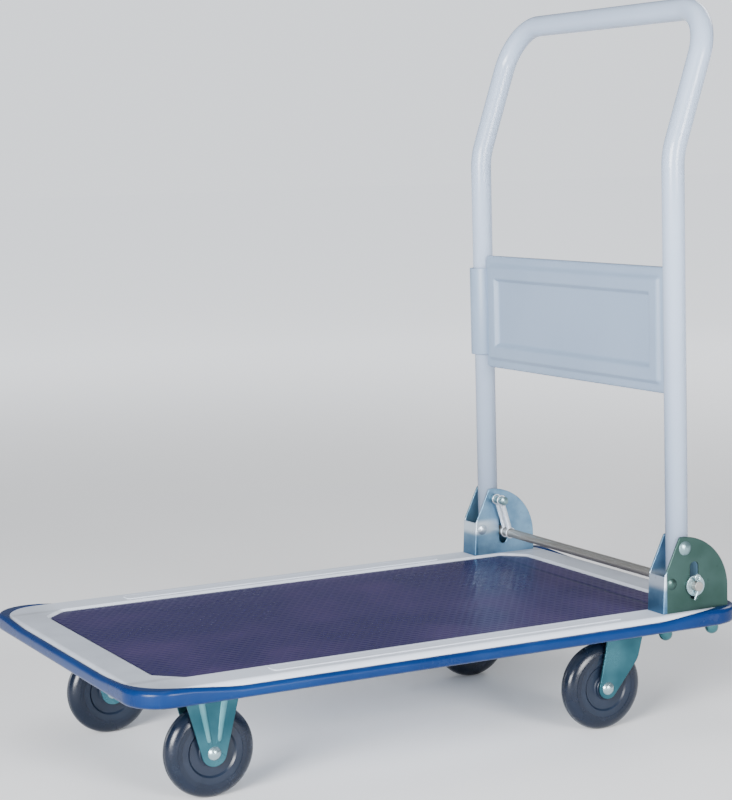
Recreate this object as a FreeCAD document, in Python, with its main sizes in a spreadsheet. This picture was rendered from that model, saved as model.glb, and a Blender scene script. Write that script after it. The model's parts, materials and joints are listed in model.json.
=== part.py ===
import FreeCAD, Part
import math
import os

import Sketcher

# Folding platform cart: a pressed steel deck on two fixed and two swivel casters, with a tube
# handle that folds forward over the deck when a sprung release bar is pressed down by foot.
#
# Frame, in millimetres: the origin is on the floor under the middle of the deck, +X points to the
# handle end, +Y to the right of someone pushing the cart, and +Z up.

os.makedirs("parts", exist_ok=True)
doc = FreeCAD.newDocument("PlatformCart")
sheet = doc.addObject("Spreadsheet::Sheet", "Sizes")
pieces = []

# ---------------------------------------------------------------- sizes


class Size:
    """A number together with the spreadsheet expression that gives it."""

    def __init__(self, value, text):
        self.value = float(value)
        self.text = text

    def __add__(self, other):
        other = as_size(other)
        return Size(self.value + other.value, f"({self.text} + {other.text})")

    def __sub__(self, other):
        other = as_size(other)
        return Size(self.value - other.value, f"({self.text} - {other.text})")

    def __mul__(self, other):
        other = as_size(other)
        return Size(self.value * other.value, f"({self.text} * {other.text})")

    def __truediv__(self, other):
        other = as_size(other)
        return Size(self.value / other.value, f"({self.text} / {other.text})")

    def __neg__(self):
        return Size(-self.value, f"(-1 * {self.text})")

    def __radd__(self, other):
        return as_size(other) + self

    def __rsub__(self, other):
        return as_size(other) - self

    def __rmul__(self, other):
        return as_size(other) * self


def as_size(value):
    return value if isinstance(value, Size) else Size(value, repr(float(value)))


def sine(angle):
    return Size(math.sin(math.radians(angle.value)), f"sin({angle.text})")


def cosine(angle):
    return Size(math.cos(math.radians(angle.value)), f"cos({angle.text})")


def tangent(angle):
    return Size(math.tan(math.radians(angle.value)), f"tan({angle.text})")


def root(size):
    return Size(math.sqrt(size.value), f"sqrt({size.text})")


def write_cell(alias, content):
    row = len(sheet.getUsedCells()) // 2 + 1
    sheet.set(f"A{row}", alias.replace("_", " "))
    sheet.set(f"B{row}", content)
    sheet.setAlias(f"B{row}", alias)


def given(alias, value):
    """A driving dimension: a plain number in the sheet."""
    write_cell(alias, str(value))
    return Size(value, f"Sizes.{alias}")


def worked_out(alias, size):
    """A dimension that follows from others: a formula in the sheet."""
    write_cell(alias, "=" + size.text.replace("Sizes.", ""))
    return Size(size.value, f"Sizes.{alias}")


# overall
deck_length = given("deck_length", 740)
deck_width = given("deck_width", 480)

# wheels and casters
wheel_radius = given("wheel_radius", 50)
wheel_width = given("wheel_width", 25)
wheel_side_gap = given("wheel_side_gap", 2.5)
tread_rounding = given("tread_rounding", 9.5)
tyre_depth = given("tyre_depth", 12)
hub_ring_width = given("hub_ring_width", 11)
hub_step = given("hub_step", 0.4)
hub_recess = given("hub_recess", 1.8)
boss_radius = given("boss_radius", 13)
hub_fillet = given("hub_fillet", 2)
ring_fillet = given("ring_fillet", 1)
bush_wall = given("bush_wall", 3)
axle_radius = given("axle_radius", 5)
axle_head_radius = given("axle_head_radius", 7.5)
axle_head_height = given("axle_head_height", 4)
head_dome_share = given("head_dome_share", 0.7)
running_clearance = given("running_clearance", 0.05)
side_clearance = given("side_clearance", 0.4)
fork_sheet = given("fork_sheet", 2.5)
plate_sheet = given("plate_sheet", 2.5)
plate_length = given("plate_length", 105)
plate_width = given("plate_width", 85)
plate_rounding = given("plate_rounding", 10)
bolt_pitch_long = given("bolt_pitch_long", 80)
bolt_pitch_wide = given("bolt_pitch_wide", 60)
slot_length = given("slot_length", 15)
slot_end_share = given("slot_end_share", 0.45)
caster_bolt_radius = given("caster_bolt_radius", 4)
caster_bolt_head = given("caster_bolt_head", 5.2)
caster_bolt_across = given("caster_bolt_across", 13)
caster_nut_height = given("caster_nut_height", 6.4)
thread_beyond_nut = given("thread_beyond_nut", 0.5)
bolt_clearance = given("bolt_clearance", 0.3)
caster_headroom = given("caster_headroom", 27)
caster_end_inset = given("caster_end_inset", 111)
caster_side_inset = given("caster_side_inset", 92)
trail = given("trail", 32)

axle_height = worked_out("axle_height", wheel_radius)
mount_height = worked_out("mount_height", 2 * wheel_radius + caster_headroom)
plate_underside = worked_out("plate_underside", mount_height - plate_sheet)
caster_x = worked_out("caster_x", deck_length / 2 - caster_end_inset)
caster_y = worked_out("caster_y", deck_width / 2 - caster_side_inset)
fork_gap = worked_out("fork_gap", wheel_width + 2 * wheel_side_gap)
fork_half = worked_out("fork_half", fork_gap / 2 + fork_sheet)

# fixed fork: a leg that tapers to a round end at the axle
fixed_leg_end = given("fixed_leg_end", 14)
fixed_leg_flare = given("fixed_leg_flare", 15)
rib_height = given("rib_height", 0.8)
rib_top_width = given("rib_top_width", 7)
rib_end_width = given("rib_end_width", 4)
rib_top_offset = given("rib_top_offset", 15.5)
rib_end_offset = given("rib_end_offset", 4.5)
rib_end_height = given("rib_end_height", 11)
rib_top_margin = given("rib_top_margin", 5)

# swivel fork: a raked leg under a round crown that turns on balls
swivel_leg_end = given("swivel_leg_end", 12)
trailing_edge_lean = given("trailing_edge_lean", 12.5)
leading_edge_lean = given("leading_edge_lean", 40)
leading_knee_rise = given("leading_knee_rise", 30)
leading_knee_rounding = given("leading_knee_rounding", 30)
leading_top_lean = given("leading_top_lean", 15)
crown_radius = given("crown_radius", 32)
crown_sheet = given("crown_sheet", 2.5)
rim_width = given("rim_width", 3.5)
ball_radius = given("ball_radius", 2.9)
ball_gap = given("ball_gap", 0.35)
ball_count = 14
race_radius = given("race_radius", 19)
cage_sheet = given("cage_sheet", 1.5)
cage_width = given("cage_width", 9)
kingpin_radius = given("kingpin_radius", 6)
kingpin_head_radius = given("kingpin_head_radius", 11)
kingpin_head_height = given("kingpin_head_height", 4)

crown_top = worked_out("crown_top", plate_underside - 2 * (ball_radius + ball_gap))
crown_underside = worked_out("crown_underside", crown_top - crown_sheet)
ball_height = worked_out("ball_height", crown_top + ball_gap + ball_radius)

# deck, mat and bumper
bumper_thickness = given("bumper_thickness", 7)
bumper_height = given("bumper_height", 16)
bumper_lip = given("bumper_lip", 3)
bumper_lip_depth = given("bumper_lip_depth", 5)
bumper_rounding = given("bumper_rounding", 4.5)
corner_radius = given("corner_radius", 45)
deck_sheet_thickness = given("deck_sheet_thickness", 1.5)
deck_shoulder = given("deck_shoulder", 6)
recess_depth = given("recess_depth", 3.5)
recess_slope = given("recess_slope", 4)
recess_gap = given("recess_gap", 1.5)
channel_depth = given("channel_depth", 10)
channel_sheet = given("channel_sheet", 2)
channel_flange = given("channel_flange", 12)
channel_margin = given("channel_margin", 5.5)
channel_overhang = given("channel_overhang", 57)
tray_rounding = given("tray_rounding", 20)
tray_side_inset = given("tray_side_inset", 3)
mat_end_border = given("mat_end_border", 43)
mat_side_border = given("mat_side_border", 47)
mat_thickness = given("mat_thickness", 1.5)
mat_chamfer = given("mat_chamfer", 23)
mat_rounding = given("mat_rounding", 6)
strip_end_inset = given("strip_end_inset", 158)
strip_width = given("strip_width", 20)
strip_height = given("strip_height", 0.6)
strip_inset = given("strip_inset", 25)

recess_underside = worked_out("recess_underside", mount_height + channel_depth)
mat_seat = worked_out("mat_seat", recess_underside + deck_sheet_thickness)
deck_top = worked_out("deck_top", mat_seat + recess_depth)
border_underside = worked_out("border_underside", deck_top - deck_sheet_thickness)
steel_length = worked_out("steel_length", deck_length - 2 * bumper_thickness)
steel_width = worked_out("steel_width", deck_width - 2 * bumper_thickness)
mat_length = worked_out("mat_length", steel_length - 2 * mat_end_border)
mat_width = worked_out("mat_width", steel_width - 2 * mat_side_border)
strip_length = worked_out("strip_length", deck_length - 2 * strip_end_inset)
channel_length = worked_out("channel_length", 2 * (caster_y + channel_overhang))

# hinge brackets, pins and their bolts
post_inset = given("post_inset", 31)
pivot_inset = given("pivot_inset", 78)
tube_radius = given("tube_radius", 12.7)
post_side_clearance = given("post_side_clearance", 0.8)
bracket_sheet = given("bracket_sheet", 2.5)
bracket_front = given("bracket_front", 30)
bracket_rear = given("bracket_rear", 58)
bracket_web_drop = given("bracket_web_drop", 30)
bracket_arc = given("bracket_arc", 62)
bracket_crest = given("bracket_crest", 13)
bracket_crest_length = given("bracket_crest_length", 3)
bracket_crest_rounding = given("bracket_crest_rounding", 3)
bracket_front_lean = given("bracket_front_lean", 2.5)
bracket_bend = given("bracket_bend", 2)
pivot_radius = given("pivot_radius", 5)
pivot_head_radius = given("pivot_head_radius", 8)
pivot_head_height = given("pivot_head_height", 3)
pivot_end_collar = given("pivot_end_collar", 2)
stop_radius = given("stop_radius", 5)
stop_drop = given("stop_drop", 39)
stop_gap = given("stop_gap", 0.4)
stop_head_radius = given("stop_head_radius", 6.5)
stop_head_height = given("stop_head_height", 2)
hinge_bolt_radius = given("hinge_bolt_radius", 5)
hinge_bolt_front = given("hinge_bolt_front", 16.3)
hinge_bolt_rear = given("hinge_bolt_rear", 47.1)
hinge_bolt_across = given("hinge_bolt_across", 16)
hinge_bolt_head = given("hinge_bolt_head", 6.4)
cap_nut_across = given("cap_nut_across", 16)
cap_nut_hex = given("cap_nut_hex", 8)
cap_nut_length = given("cap_nut_length", 19)
cap_nut_dome_inset = given("cap_nut_dome_inset", 0.3)
cap_nut_end_wall = given("cap_nut_end_wall", 5)
spacer_wall = given("spacer_wall", 3)
spacer_clearance = given("spacer_clearance", 0.3)

# release bar and springs
bar_radius = given("bar_radius", 5.5)
bar_offset = given("bar_offset", 12.5)
bar_drop = given("bar_drop", 43.5)
bar_travel = given("bar_travel", 10)
bar_foot_clearance = given("bar_foot_clearance", 10.5)
bar_overhang = given("bar_overhang", 9)
slot_clearance = given("slot_clearance", 0.4)
slot_end_flat = given("slot_end_flat", 0.4)
slot_top_rise = given("slot_top_rise", 27)
washer_radius = given("washer_radius", 12)
washer_thickness = given("washer_thickness", 2)
split_pin_radius = given("split_pin_radius", 1.5)
split_pin_setback = given("split_pin_setback", 3)
split_pin_leg = given("split_pin_leg", 9)
split_pin_leg_turn = given("split_pin_leg_turn", 210)
split_pin_wire_share = given("split_pin_wire_share", 0.8)
split_pin_eye_share = given("split_pin_eye_share", 2)
spring_radius = given("spring_radius", 3.5)
spring_coil_length = given("spring_coil_length", 32)
spring_wire = given("spring_wire", 0.7)
spring_eye_gap = given("spring_eye_gap", 0.3)
spring_first_offset = given("spring_first_offset", 7)
spring_second_offset = given("spring_second_offset", 19)
spring_end_margin = given("spring_end_margin", 3)

post_y = worked_out("post_y", deck_width / 2 - post_inset)
pivot_x = worked_out("pivot_x", deck_length / 2 - pivot_inset)
base_top = worked_out("base_top", deck_top + bracket_sheet)
bar_lowest = worked_out("bar_lowest", base_top + bar_foot_clearance + bar_radius)
bar_height = worked_out("bar_height", bar_lowest + bar_travel)
pivot_height = worked_out("pivot_height", bar_height + bar_drop)
bracket_gap = worked_out("bracket_gap", 2 * (tube_radius + post_side_clearance))
bracket_front_x = worked_out("bracket_front_x", pivot_x - bracket_front)
bracket_rear_x = worked_out("bracket_rear_x", pivot_x + bracket_rear)
bracket_half = worked_out("bracket_half", bracket_gap / 2 + bracket_sheet)
stop_x = worked_out("stop_x", pivot_x - tube_radius - stop_gap - stop_radius)
stop_height = worked_out("stop_height", pivot_height - stop_drop)

pivot_reach = worked_out(
    "pivot_reach", spring_second_offset + spring_radius + spring_end_margin + pivot_end_collar
)
bar_x = worked_out("bar_x", pivot_x + bar_offset)

# handle
tube_wall = given("tube_wall", 1.5)
heel_clearance = given("heel_clearance", 0.4)
heel_overlap = given("heel_overlap", 1)
bend_rise = given("bend_rise", 438)
bend_radius = given("bend_radius", 90)
lean_rise = given("lean_rise", 160.5)
lean_angle = given("lean_angle", 18.8)
top_bend_radius = given("top_bend_radius", 56)
panel_bottom_rise = given("panel_bottom_rise", 171)
panel_height = given("panel_height", 142)
panel_sheet = given("panel_sheet", 1.2)
panel_lip = given("panel_lip", 8)
frame_side_margin = given("frame_side_margin", 9)
frame_end_margin = given("frame_end_margin", 11)
frame_width = given("frame_width", 16)
frame_height = given("frame_height", 4)
frame_slope = given("frame_slope", 40)
frame_rounding = given("frame_rounding", 5)
field_sink = given("field_sink", 1.5)
wrap_end_margin = given("wrap_end_margin", 16)
wrap_sheet = given("wrap_sheet", 2.2)

bar_reach = worked_out("bar_reach", root(bar_offset * bar_offset + bar_drop * bar_drop))
heel_radius = worked_out("heel_radius", bar_reach - bar_radius - heel_clearance)
panel_half = worked_out("panel_half", post_y - tube_radius)
wrap_height = worked_out("wrap_height", panel_height - 2 * wrap_end_margin)

doc.recompute()

# ---------------------------------------------------------------- modelling helpers


def bind(obj, prop, size):
    obj.setExpression(prop, as_size(size).text)


def put(obj, x=0, y=0, z=0):
    """Place an object, keeping its rotation."""
    for axis, size in zip("xyz", (x, y, z)):
        bind(obj, f"Placement.Base.{axis}", size)
    return obj


def turned(obj, axis, degrees):
    obj.Placement = FreeCAD.Placement(FreeCAD.Vector(), FreeCAD.Rotation(FreeCAD.Vector(*axis), degrees))
    return obj


def new_body(label):
    body = doc.addObject("PartDesign::Body", label)
    body.Label = label
    pieces.append(body)
    return body


def origin_feature(body, role):
    return next(f for f in body.Origin.OriginFeatures if f.Role == role)


def new_sketch(body, plane, offset=None):
    """A sketch on one of the body's own origin planes, moved along that plane's normal."""
    sketch = body.newObject("Sketcher::SketchObject", body.Label + "_sketch")
    sketch.AttachmentSupport = (origin_feature(body, plane), [""])
    sketch.MapMode = "FlatFace"
    if offset is not None:
        bind(sketch, "AttachmentOffset.Base.z", offset)
    return sketch


def fix_point(sketch, geometry, point, x, y):
    """Hold a sketch point at (x, y) from the origin."""
    for kind, axis, size in (("DistanceX", -2, as_size(x)), ("DistanceY", -1, as_size(y))):
        if size.value == 0:
            sketch.addConstraint(Sketcher.Constraint("PointOnObject", geometry, point, axis))
        else:
            index = sketch.addConstraint(Sketcher.Constraint(kind, -1, 1, geometry, point, size.value))
            bind(sketch, f"Constraints[{index}]", size)


def rounded_corner(before, corner, after, radius):
    """The arc that rounds a corner, its two ends, and whether the outline turns left there."""
    u = (before - corner).normalize()
    v = (after - corner).normalize()
    half = u.getAngle(v) / 2
    reach = radius / math.tan(half)
    start = corner + u * reach
    end = corner + v * reach
    bisector = (u + v).normalize()
    middle = corner + bisector * (radius / math.sin(half) - radius)
    turns_left = (corner - before).cross(after - corner).z > 0
    ends = (start, end) if turns_left else (end, start)
    return Part.Arc(ends[0], middle, ends[1]), start, end, turns_left


def draw_outline(sketch, corners):
    """A closed outline. Each corner is (x, y) or (x, y, rounding radius)."""
    places = [FreeCAD.Vector(as_size(c[0]).value, as_size(c[1]).value, 0) for c in corners]
    count = len(corners)
    starts, ends, arcs, left = {}, {}, {}, {}
    for i, corner in enumerate(corners):
        ends[i] = starts[i] = places[i]
        if len(corner) == 3:
            radius = as_size(corner[2]).value
            after = places[(i + 1) % count]
            arcs[i], ends[i], starts[i], left[i] = rounded_corner(places[i - 1], places[i], after, radius)
    lines = []
    for i in range(count):
        lines.append(sketch.addGeometry(Part.LineSegment(starts[i], ends[(i + 1) % count])))
    for i, corner in enumerate(corners):
        line_in, line_out = lines[i - 1], lines[i]
        if i not in arcs:
            sketch.addConstraint(Sketcher.Constraint("Coincident", line_in, 2, line_out, 1))
            fix_point(sketch, line_out, 1, corner[0], corner[1])
            continue
        arc = sketch.addGeometry(arcs[i])
        arc_in, arc_out = (1, 2) if left[i] else (2, 1)
        sketch.addConstraint(Sketcher.Constraint("Tangent", line_in, 2, arc, arc_in))
        sketch.addConstraint(Sketcher.Constraint("Tangent", arc, arc_out, line_out, 1))
        index = sketch.addConstraint(Sketcher.Constraint("Radius", arc, as_size(corner[2]).value))
        bind(sketch, f"Constraints[{index}]", corner[2])
        mark = sketch.addGeometry(Part.Point(places[i]), True)
        sketch.addConstraint(Sketcher.Constraint("PointOnObject", mark, 1, line_in))
        sketch.addConstraint(Sketcher.Constraint("PointOnObject", mark, 1, line_out))
        fix_point(sketch, mark, 1, corner[0], corner[1])


def draw_circle(sketch, x, y, radius):
    centre = FreeCAD.Vector(as_size(x).value, as_size(y).value, 0)
    circle = sketch.addGeometry(Part.Circle(centre, FreeCAD.Vector(0, 0, 1), as_size(radius).value))
    index = sketch.addConstraint(Sketcher.Constraint("Radius", circle, as_size(radius).value))
    bind(sketch, f"Constraints[{index}]", radius)
    fix_point(sketch, circle, 3, x, y)


def rectangle(x, y, length, width, rounding=None):
    """The four corners of a rectangle about (x, y)."""
    corners = []
    for sx, sy in ((-1, -1), (1, -1), (1, 1), (-1, 1)):
        corner = (x + sx * as_size(length) / 2, y + sy * as_size(width) / 2)
        corners.append(corner if rounding is None else (*corner, rounding))
    return corners


def chamfered(length, width, chamfer, rounding):
    """A rectangle about the origin with its four corners cut off, each cut's ends rounded."""
    corners = []
    for sx, sy in ((-1, -1), (1, -1), (1, 1), (-1, 1)):
        along = (sx * (length / 2 - chamfer), sy * width / 2, rounding)
        across = (sx * length / 2, sy * (width / 2 - chamfer), rounding)
        corners += [across, along] if sx == sy else [along, across]
    return corners


def add_feature(body, kind, sketch):
    feature = body.newObject(f"PartDesign::{kind}", f"{body.Label}_{kind}")
    feature.Profile = sketch
    return feature


def checked(body, feature, more):
    """Recompute a feature and make sure that it really added or removed material."""
    before = feature.BaseFeature.Shape.Volume if feature.BaseFeature else 0
    doc.recompute()
    change = feature.Shape.Volume - before
    if (change <= 0) if more else (change >= 0):
        raise RuntimeError(f"{feature.Label} changes the volume by {change:.3f}")
    body.Tip = feature
    return feature


def pad(body, sketch, length, symmetric=False, flip=False, taper=None):
    feature = add_feature(body, "Pad", sketch)
    bind(feature, "Length", length)
    feature.SideType = "Symmetric" if symmetric else "One side"
    feature.Reversed = flip
    if taper is not None:
        bind(feature, "TaperAngle", taper)
    return checked(body, feature, True)


def pocket(body, sketch, length, symmetric=False, flip=False, taper=None):
    feature = add_feature(body, "Pocket", sketch)
    bind(feature, "Length", length)
    feature.SideType = "Symmetric" if symmetric else "One side"
    feature.Reversed = flip
    if taper is not None:
        bind(feature, "TaperAngle", taper)
    return checked(body, feature, False)


def revolve(body, sketch, axis):
    feature = add_feature(body, "Revolution", sketch)
    feature.ReferenceAxis = (origin_feature(body, axis), [""])
    return checked(body, feature, True)


def round_edges(body, radius, wanted):
    """Fillet the edges of the body's tip that the test picks out."""
    base = body.Tip
    names = [f"Edge{i}" for i, edge in enumerate(base.Shape.Edges, 1) if wanted(edge)]
    feature = body.newObject("PartDesign::Fillet", body.Label + "_Fillet")
    feature.Base = (base, names)
    bind(feature, "Radius", radius)
    doc.recompute()
    body.Tip = feature
    return feature


def level(z):
    """A test for edges that lie wholly at one height."""
    height = as_size(z).value
    return lambda edge: all(abs(v.Point.z - height) < 1e-4 for v in edge.Vertexes)


def cylinder(name, radius, length):
    obj = doc.addObject("Part::Cylinder", name)
    bind(obj, "Radius", radius)
    bind(obj, "Height", length)
    return obj


def hexagon(name, across, length):
    """A six-sided prism by its width across the flats."""
    obj = doc.addObject("Part::Prism", name)
    obj.Polygon = 6
    bind(obj, "Circumradius", as_size(across) / 2 / Size(math.cos(math.pi / 6), "cos(30)"))
    bind(obj, "Height", length)
    return obj


def sphere(name, radius):
    obj = doc.addObject("Part::Sphere", name)
    bind(obj, "Radius", radius)
    return obj


def torus(name, ring, section):
    obj = doc.addObject("Part::Torus", name)
    bind(obj, "Radius1", ring)
    bind(obj, "Radius2", section)
    return obj


def fuse(name, parts):
    obj = doc.addObject("Part::MultiFuse", name)
    obj.Shapes = parts
    return obj


def cut(name, base, tool):
    obj = doc.addObject("Part::Cut", name)
    obj.Base = base
    obj.Tool = tool
    return obj


def as_piece(obj, label):
    obj.Label = label
    pieces.append(obj)
    return obj


def group(label, parts):
    """Several separate solids that share one node."""
    obj = doc.addObject("Part::Compound", label)
    obj.Links = parts
    return as_piece(obj, label)


# ---------------------------------------------------------------- deck


def make_deck_sheet():
    """One pressed sheet: a rounded shoulder, a flat border, and a sunk floor that holds the mat."""
    body = new_body("deck_sheet")
    outline = new_sketch(body, "XY_Plane", mount_height)
    draw_outline(outline, rectangle(0, 0, steel_length, steel_width, corner_radius))
    pad(body, outline, deck_top - mount_height)
    inside = 2 * deck_sheet_thickness
    under = new_sketch(body, "XY_Plane", mount_height)
    inner_radius = corner_radius - deck_sheet_thickness
    draw_outline(under, rectangle(0, 0, steel_length - inside, steel_width - inside, inner_radius))
    pocket(body, under, border_underside - mount_height, flip=True)
    round_edges(body, deck_shoulder - deck_sheet_thickness, level(border_underside))
    round_edges(body, deck_shoulder, level(deck_top))
    slope = Size(
        math.degrees(math.atan(recess_slope.value / recess_depth.value)),
        f"atan({recess_slope.text} / {recess_depth.text})",
    )
    spread = 2 * (recess_gap + recess_slope)
    reach = mat_chamfer + recess_slope
    tray = new_sketch(body, "XY_Plane", border_underside)
    draw_outline(tray, chamfered(mat_length + spread, mat_width + spread, reach, mat_rounding))
    pad(body, tray, border_underside - recess_underside, flip=True, taper=-slope)
    recess = new_sketch(body, "XY_Plane", deck_top)
    draw_outline(recess, chamfered(mat_length + spread, mat_width + spread, reach, mat_rounding))
    pocket(body, recess, recess_depth, taper=-slope)
    holes = new_sketch(body, "XY_Plane", deck_top)
    for x, y in hinge_bolt_places():
        draw_circle(holes, x, y, hinge_bolt_radius + bolt_clearance)
    pocket(body, holes, 2 * deck_sheet_thickness)
    strips = new_sketch(body, "XY_Plane", deck_top)
    for side in (-1, 1):
        middle = side * (steel_width / 2 - strip_inset)
        draw_outline(strips, rectangle(0, middle, strip_length, strip_width, strip_width / 4))
    pad(body, strips, strip_height)


def make_mat():
    """Vinyl mat, laid in the sunk floor of the deck."""
    body = new_body("deck_mat")
    outline = new_sketch(body, "XY_Plane", mat_seat)
    draw_outline(outline, chamfered(mat_length, mat_width, mat_chamfer, mat_rounding))
    pad(body, outline, mat_thickness)


def make_bumper():
    """Soft strip round the edge, with a lip that hooks under the deck's skirt."""
    body = new_body("bumper_strip")
    outer = new_sketch(body, "XY_Plane", mount_height - bumper_lip)
    draw_outline(outer, rectangle(0, 0, deck_length, deck_width, corner_radius + bumper_thickness))
    pad(body, outer, bumper_height)
    lower = level(mount_height - bumper_lip)
    upper = level(mount_height - bumper_lip + bumper_height)
    round_edges(body, bumper_rounding, lambda edge: lower(edge) or upper(edge))
    inner = new_sketch(body, "XY_Plane", mount_height)
    draw_outline(inner, rectangle(0, 0, steel_length, steel_width, corner_radius))
    pocket(body, inner, bumper_height, flip=True)
    mouth = new_sketch(body, "XY_Plane", mount_height)
    reach = 2 * bumper_lip_depth
    mouth_radius = corner_radius - bumper_lip_depth
    draw_outline(mouth, rectangle(0, 0, steel_length - reach, steel_width - reach, mouth_radius))
    pocket(body, mouth, 2 * bumper_lip)


def make_front_channel():
    """Hat section across the deck, which the two fixed casters bolt to."""
    body = new_body("front_cross_channel")
    profile = new_sketch(body, "XZ_Plane")
    half = plate_length / 2 + channel_margin
    inside = half - channel_sheet
    floor = mount_height + channel_sheet
    eave = recess_underside - channel_sheet
    draw_outline(
        profile,
        [
            (-caster_x - half - channel_flange, recess_underside),
            (-caster_x - inside, recess_underside),
            (-caster_x - inside, floor),
            (-caster_x + inside, floor),
            (-caster_x + inside, recess_underside),
            (-caster_x + half + channel_flange, recess_underside),
            (-caster_x + half + channel_flange, eave),
            (-caster_x + half, eave),
            (-caster_x + half, mount_height),
            (-caster_x - half, mount_height),
            (-caster_x - half, eave),
            (-caster_x - half - channel_flange, eave),
        ],
    )
    pad(body, profile, channel_length, symmetric=True)
    drill_caster_holes(body, -caster_x)


def make_rear_channel():
    """Wider tray across the deck: the swivel casters and the hinge brackets both bolt through it."""
    body = new_body("rear_cross_channel")
    front = caster_x - plate_length / 2 - channel_margin
    rear = bracket_rear_x
    half_width = post_y + bracket_half - tray_side_inset
    web = new_sketch(body, "XY_Plane", mount_height)
    draw_outline(
        web,
        [
            (front, -half_width),
            (rear, -half_width, tray_rounding),
            (rear, half_width, tray_rounding),
            (front, half_width),
        ],
    )
    pad(body, web, channel_sheet)
    lip = new_sketch(body, "XZ_Plane")
    draw_outline(
        lip,
        [
            (front, mount_height),
            (front + channel_sheet, mount_height),
            (front + channel_sheet, recess_underside),
            (front - channel_flange, recess_underside),
            (front - channel_flange, recess_underside - channel_sheet),
            (front, recess_underside - channel_sheet),
        ],
    )
    pad(body, lip, channel_length, symmetric=True)
    back = new_sketch(body, "XZ_Plane")
    draw_outline(
        back,
        [
            (rear - channel_sheet, mount_height),
            (rear, mount_height),
            (rear, border_underside),
            (rear - channel_sheet, border_underside),
        ],
    )
    pad(body, back, channel_length - 2 * tray_rounding, symmetric=True)
    drill_caster_holes(body, caster_x)
    holes = new_sketch(body, "XY_Plane", mount_height)
    for x, y in hinge_bolt_places():
        draw_circle(holes, x, y, hinge_bolt_radius + bolt_clearance)
    pocket(body, holes, 2 * channel_sheet, symmetric=True)


def drill_caster_holes(body, x):
    holes = new_sketch(body, "XY_Plane", mount_height)
    for dx, dy in bolt_offsets():
        for side in (-1, 1):
            draw_circle(holes, x + dx, side * caster_y + dy, caster_bolt_radius + bolt_clearance)
    pocket(body, holes, 2 * channel_sheet, symmetric=True)


def bolt_offsets():
    return [(sx * bolt_pitch_long / 2, sy * bolt_pitch_wide / 2) for sx in (-1, 1) for sy in (-1, 1)]


def hinge_bolt_places():
    front_bolt, rear_bolt = pivot_x - hinge_bolt_front, pivot_x + hinge_bolt_rear
    return [(x, side * post_y) for side in (-1, 1) for x in (front_bolt, rear_bolt)]


# ---------------------------------------------------------------- casters


def make_tyre(label, x, y):
    body = new_body(label)
    profile = new_sketch(body, "YZ_Plane")
    rim = wheel_radius - tyre_depth
    half = wheel_width / 2
    draw_outline(
        profile,
        [
            (-half, rim),
            (half, rim),
            (half, wheel_radius, tread_rounding),
            (-half, wheel_radius, tread_rounding),
        ],
    )
    revolve(body, profile, "Y_Axis")
    put(body, x, y, axle_height)


def make_hub(label, x, y):
    """Moulded hub: a raised ring under the tyre, a sunk disc and a boss that runs between the legs."""
    body = new_body(label)
    profile = new_sketch(body, "YZ_Plane")
    rim = wheel_radius - tyre_depth
    ring = rim - hub_ring_width
    bore = axle_radius + running_clearance + bush_wall
    face = wheel_width / 2 - hub_step
    disc = face - hub_recess
    boss = fork_gap / 2 - side_clearance
    half_profile = [
        (boss, bore),
        (boss, boss_radius),
        (disc, boss_radius + hub_fillet),
        (disc, ring - ring_fillet),
        (face, ring),
        (face, rim),
    ]
    mirrored = [(-y_out, r) for y_out, r in reversed(half_profile)]
    draw_outline(profile, half_profile + mirrored)
    revolve(body, profile, "Y_Axis")
    put(body, x, y, axle_height)


def make_bush(label, x, y):
    """Plain bearing sleeve, pressed in the hub and running on the axle."""
    body = new_body(label)
    profile = new_sketch(body, "YZ_Plane")
    bore = axle_radius + running_clearance
    draw_outline(profile, rectangle(0, bore + bush_wall / 2, fork_gap - 2 * side_clearance, bush_wall))
    revolve(body, profile, "Y_Axis")
    put(body, x, y, axle_height)


def make_axle(label, x, y):
    """Rivet through both legs, with a domed head on each side."""
    body = new_body(label)
    profile = new_sketch(body, "YZ_Plane")
    dome = axle_head_height * head_dome_share
    draw_outline(
        profile,
        [
            (-fork_half - axle_head_height, 0),
            (fork_half + axle_head_height, 0),
            (fork_half + axle_head_height, axle_head_radius, dome),
            (fork_half, axle_head_radius),
            (fork_half, axle_radius),
            (-fork_half, axle_radius),
            (-fork_half, axle_head_radius),
            (-fork_half - axle_head_height, axle_head_radius, dome),
        ],
    )
    revolve(body, profile, "Y_Axis")
    put(body, x, y, axle_height)


def slotted_plate(body):
    """Caster top plate with four slots for its bolts."""
    plate = new_sketch(body, "XY_Plane", plate_underside)
    draw_outline(plate, rectangle(0, 0, plate_length, plate_width, plate_rounding))
    pad(body, plate, plate_sheet)
    slots = new_sketch(body, "XY_Plane", mount_height)
    width = 2 * (caster_bolt_radius + bolt_clearance)
    for dx, dy in bolt_offsets():
        draw_outline(slots, rectangle(dx, dy, slot_length, width, width * slot_end_share))
    pocket(body, slots, plate_sheet)


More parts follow.
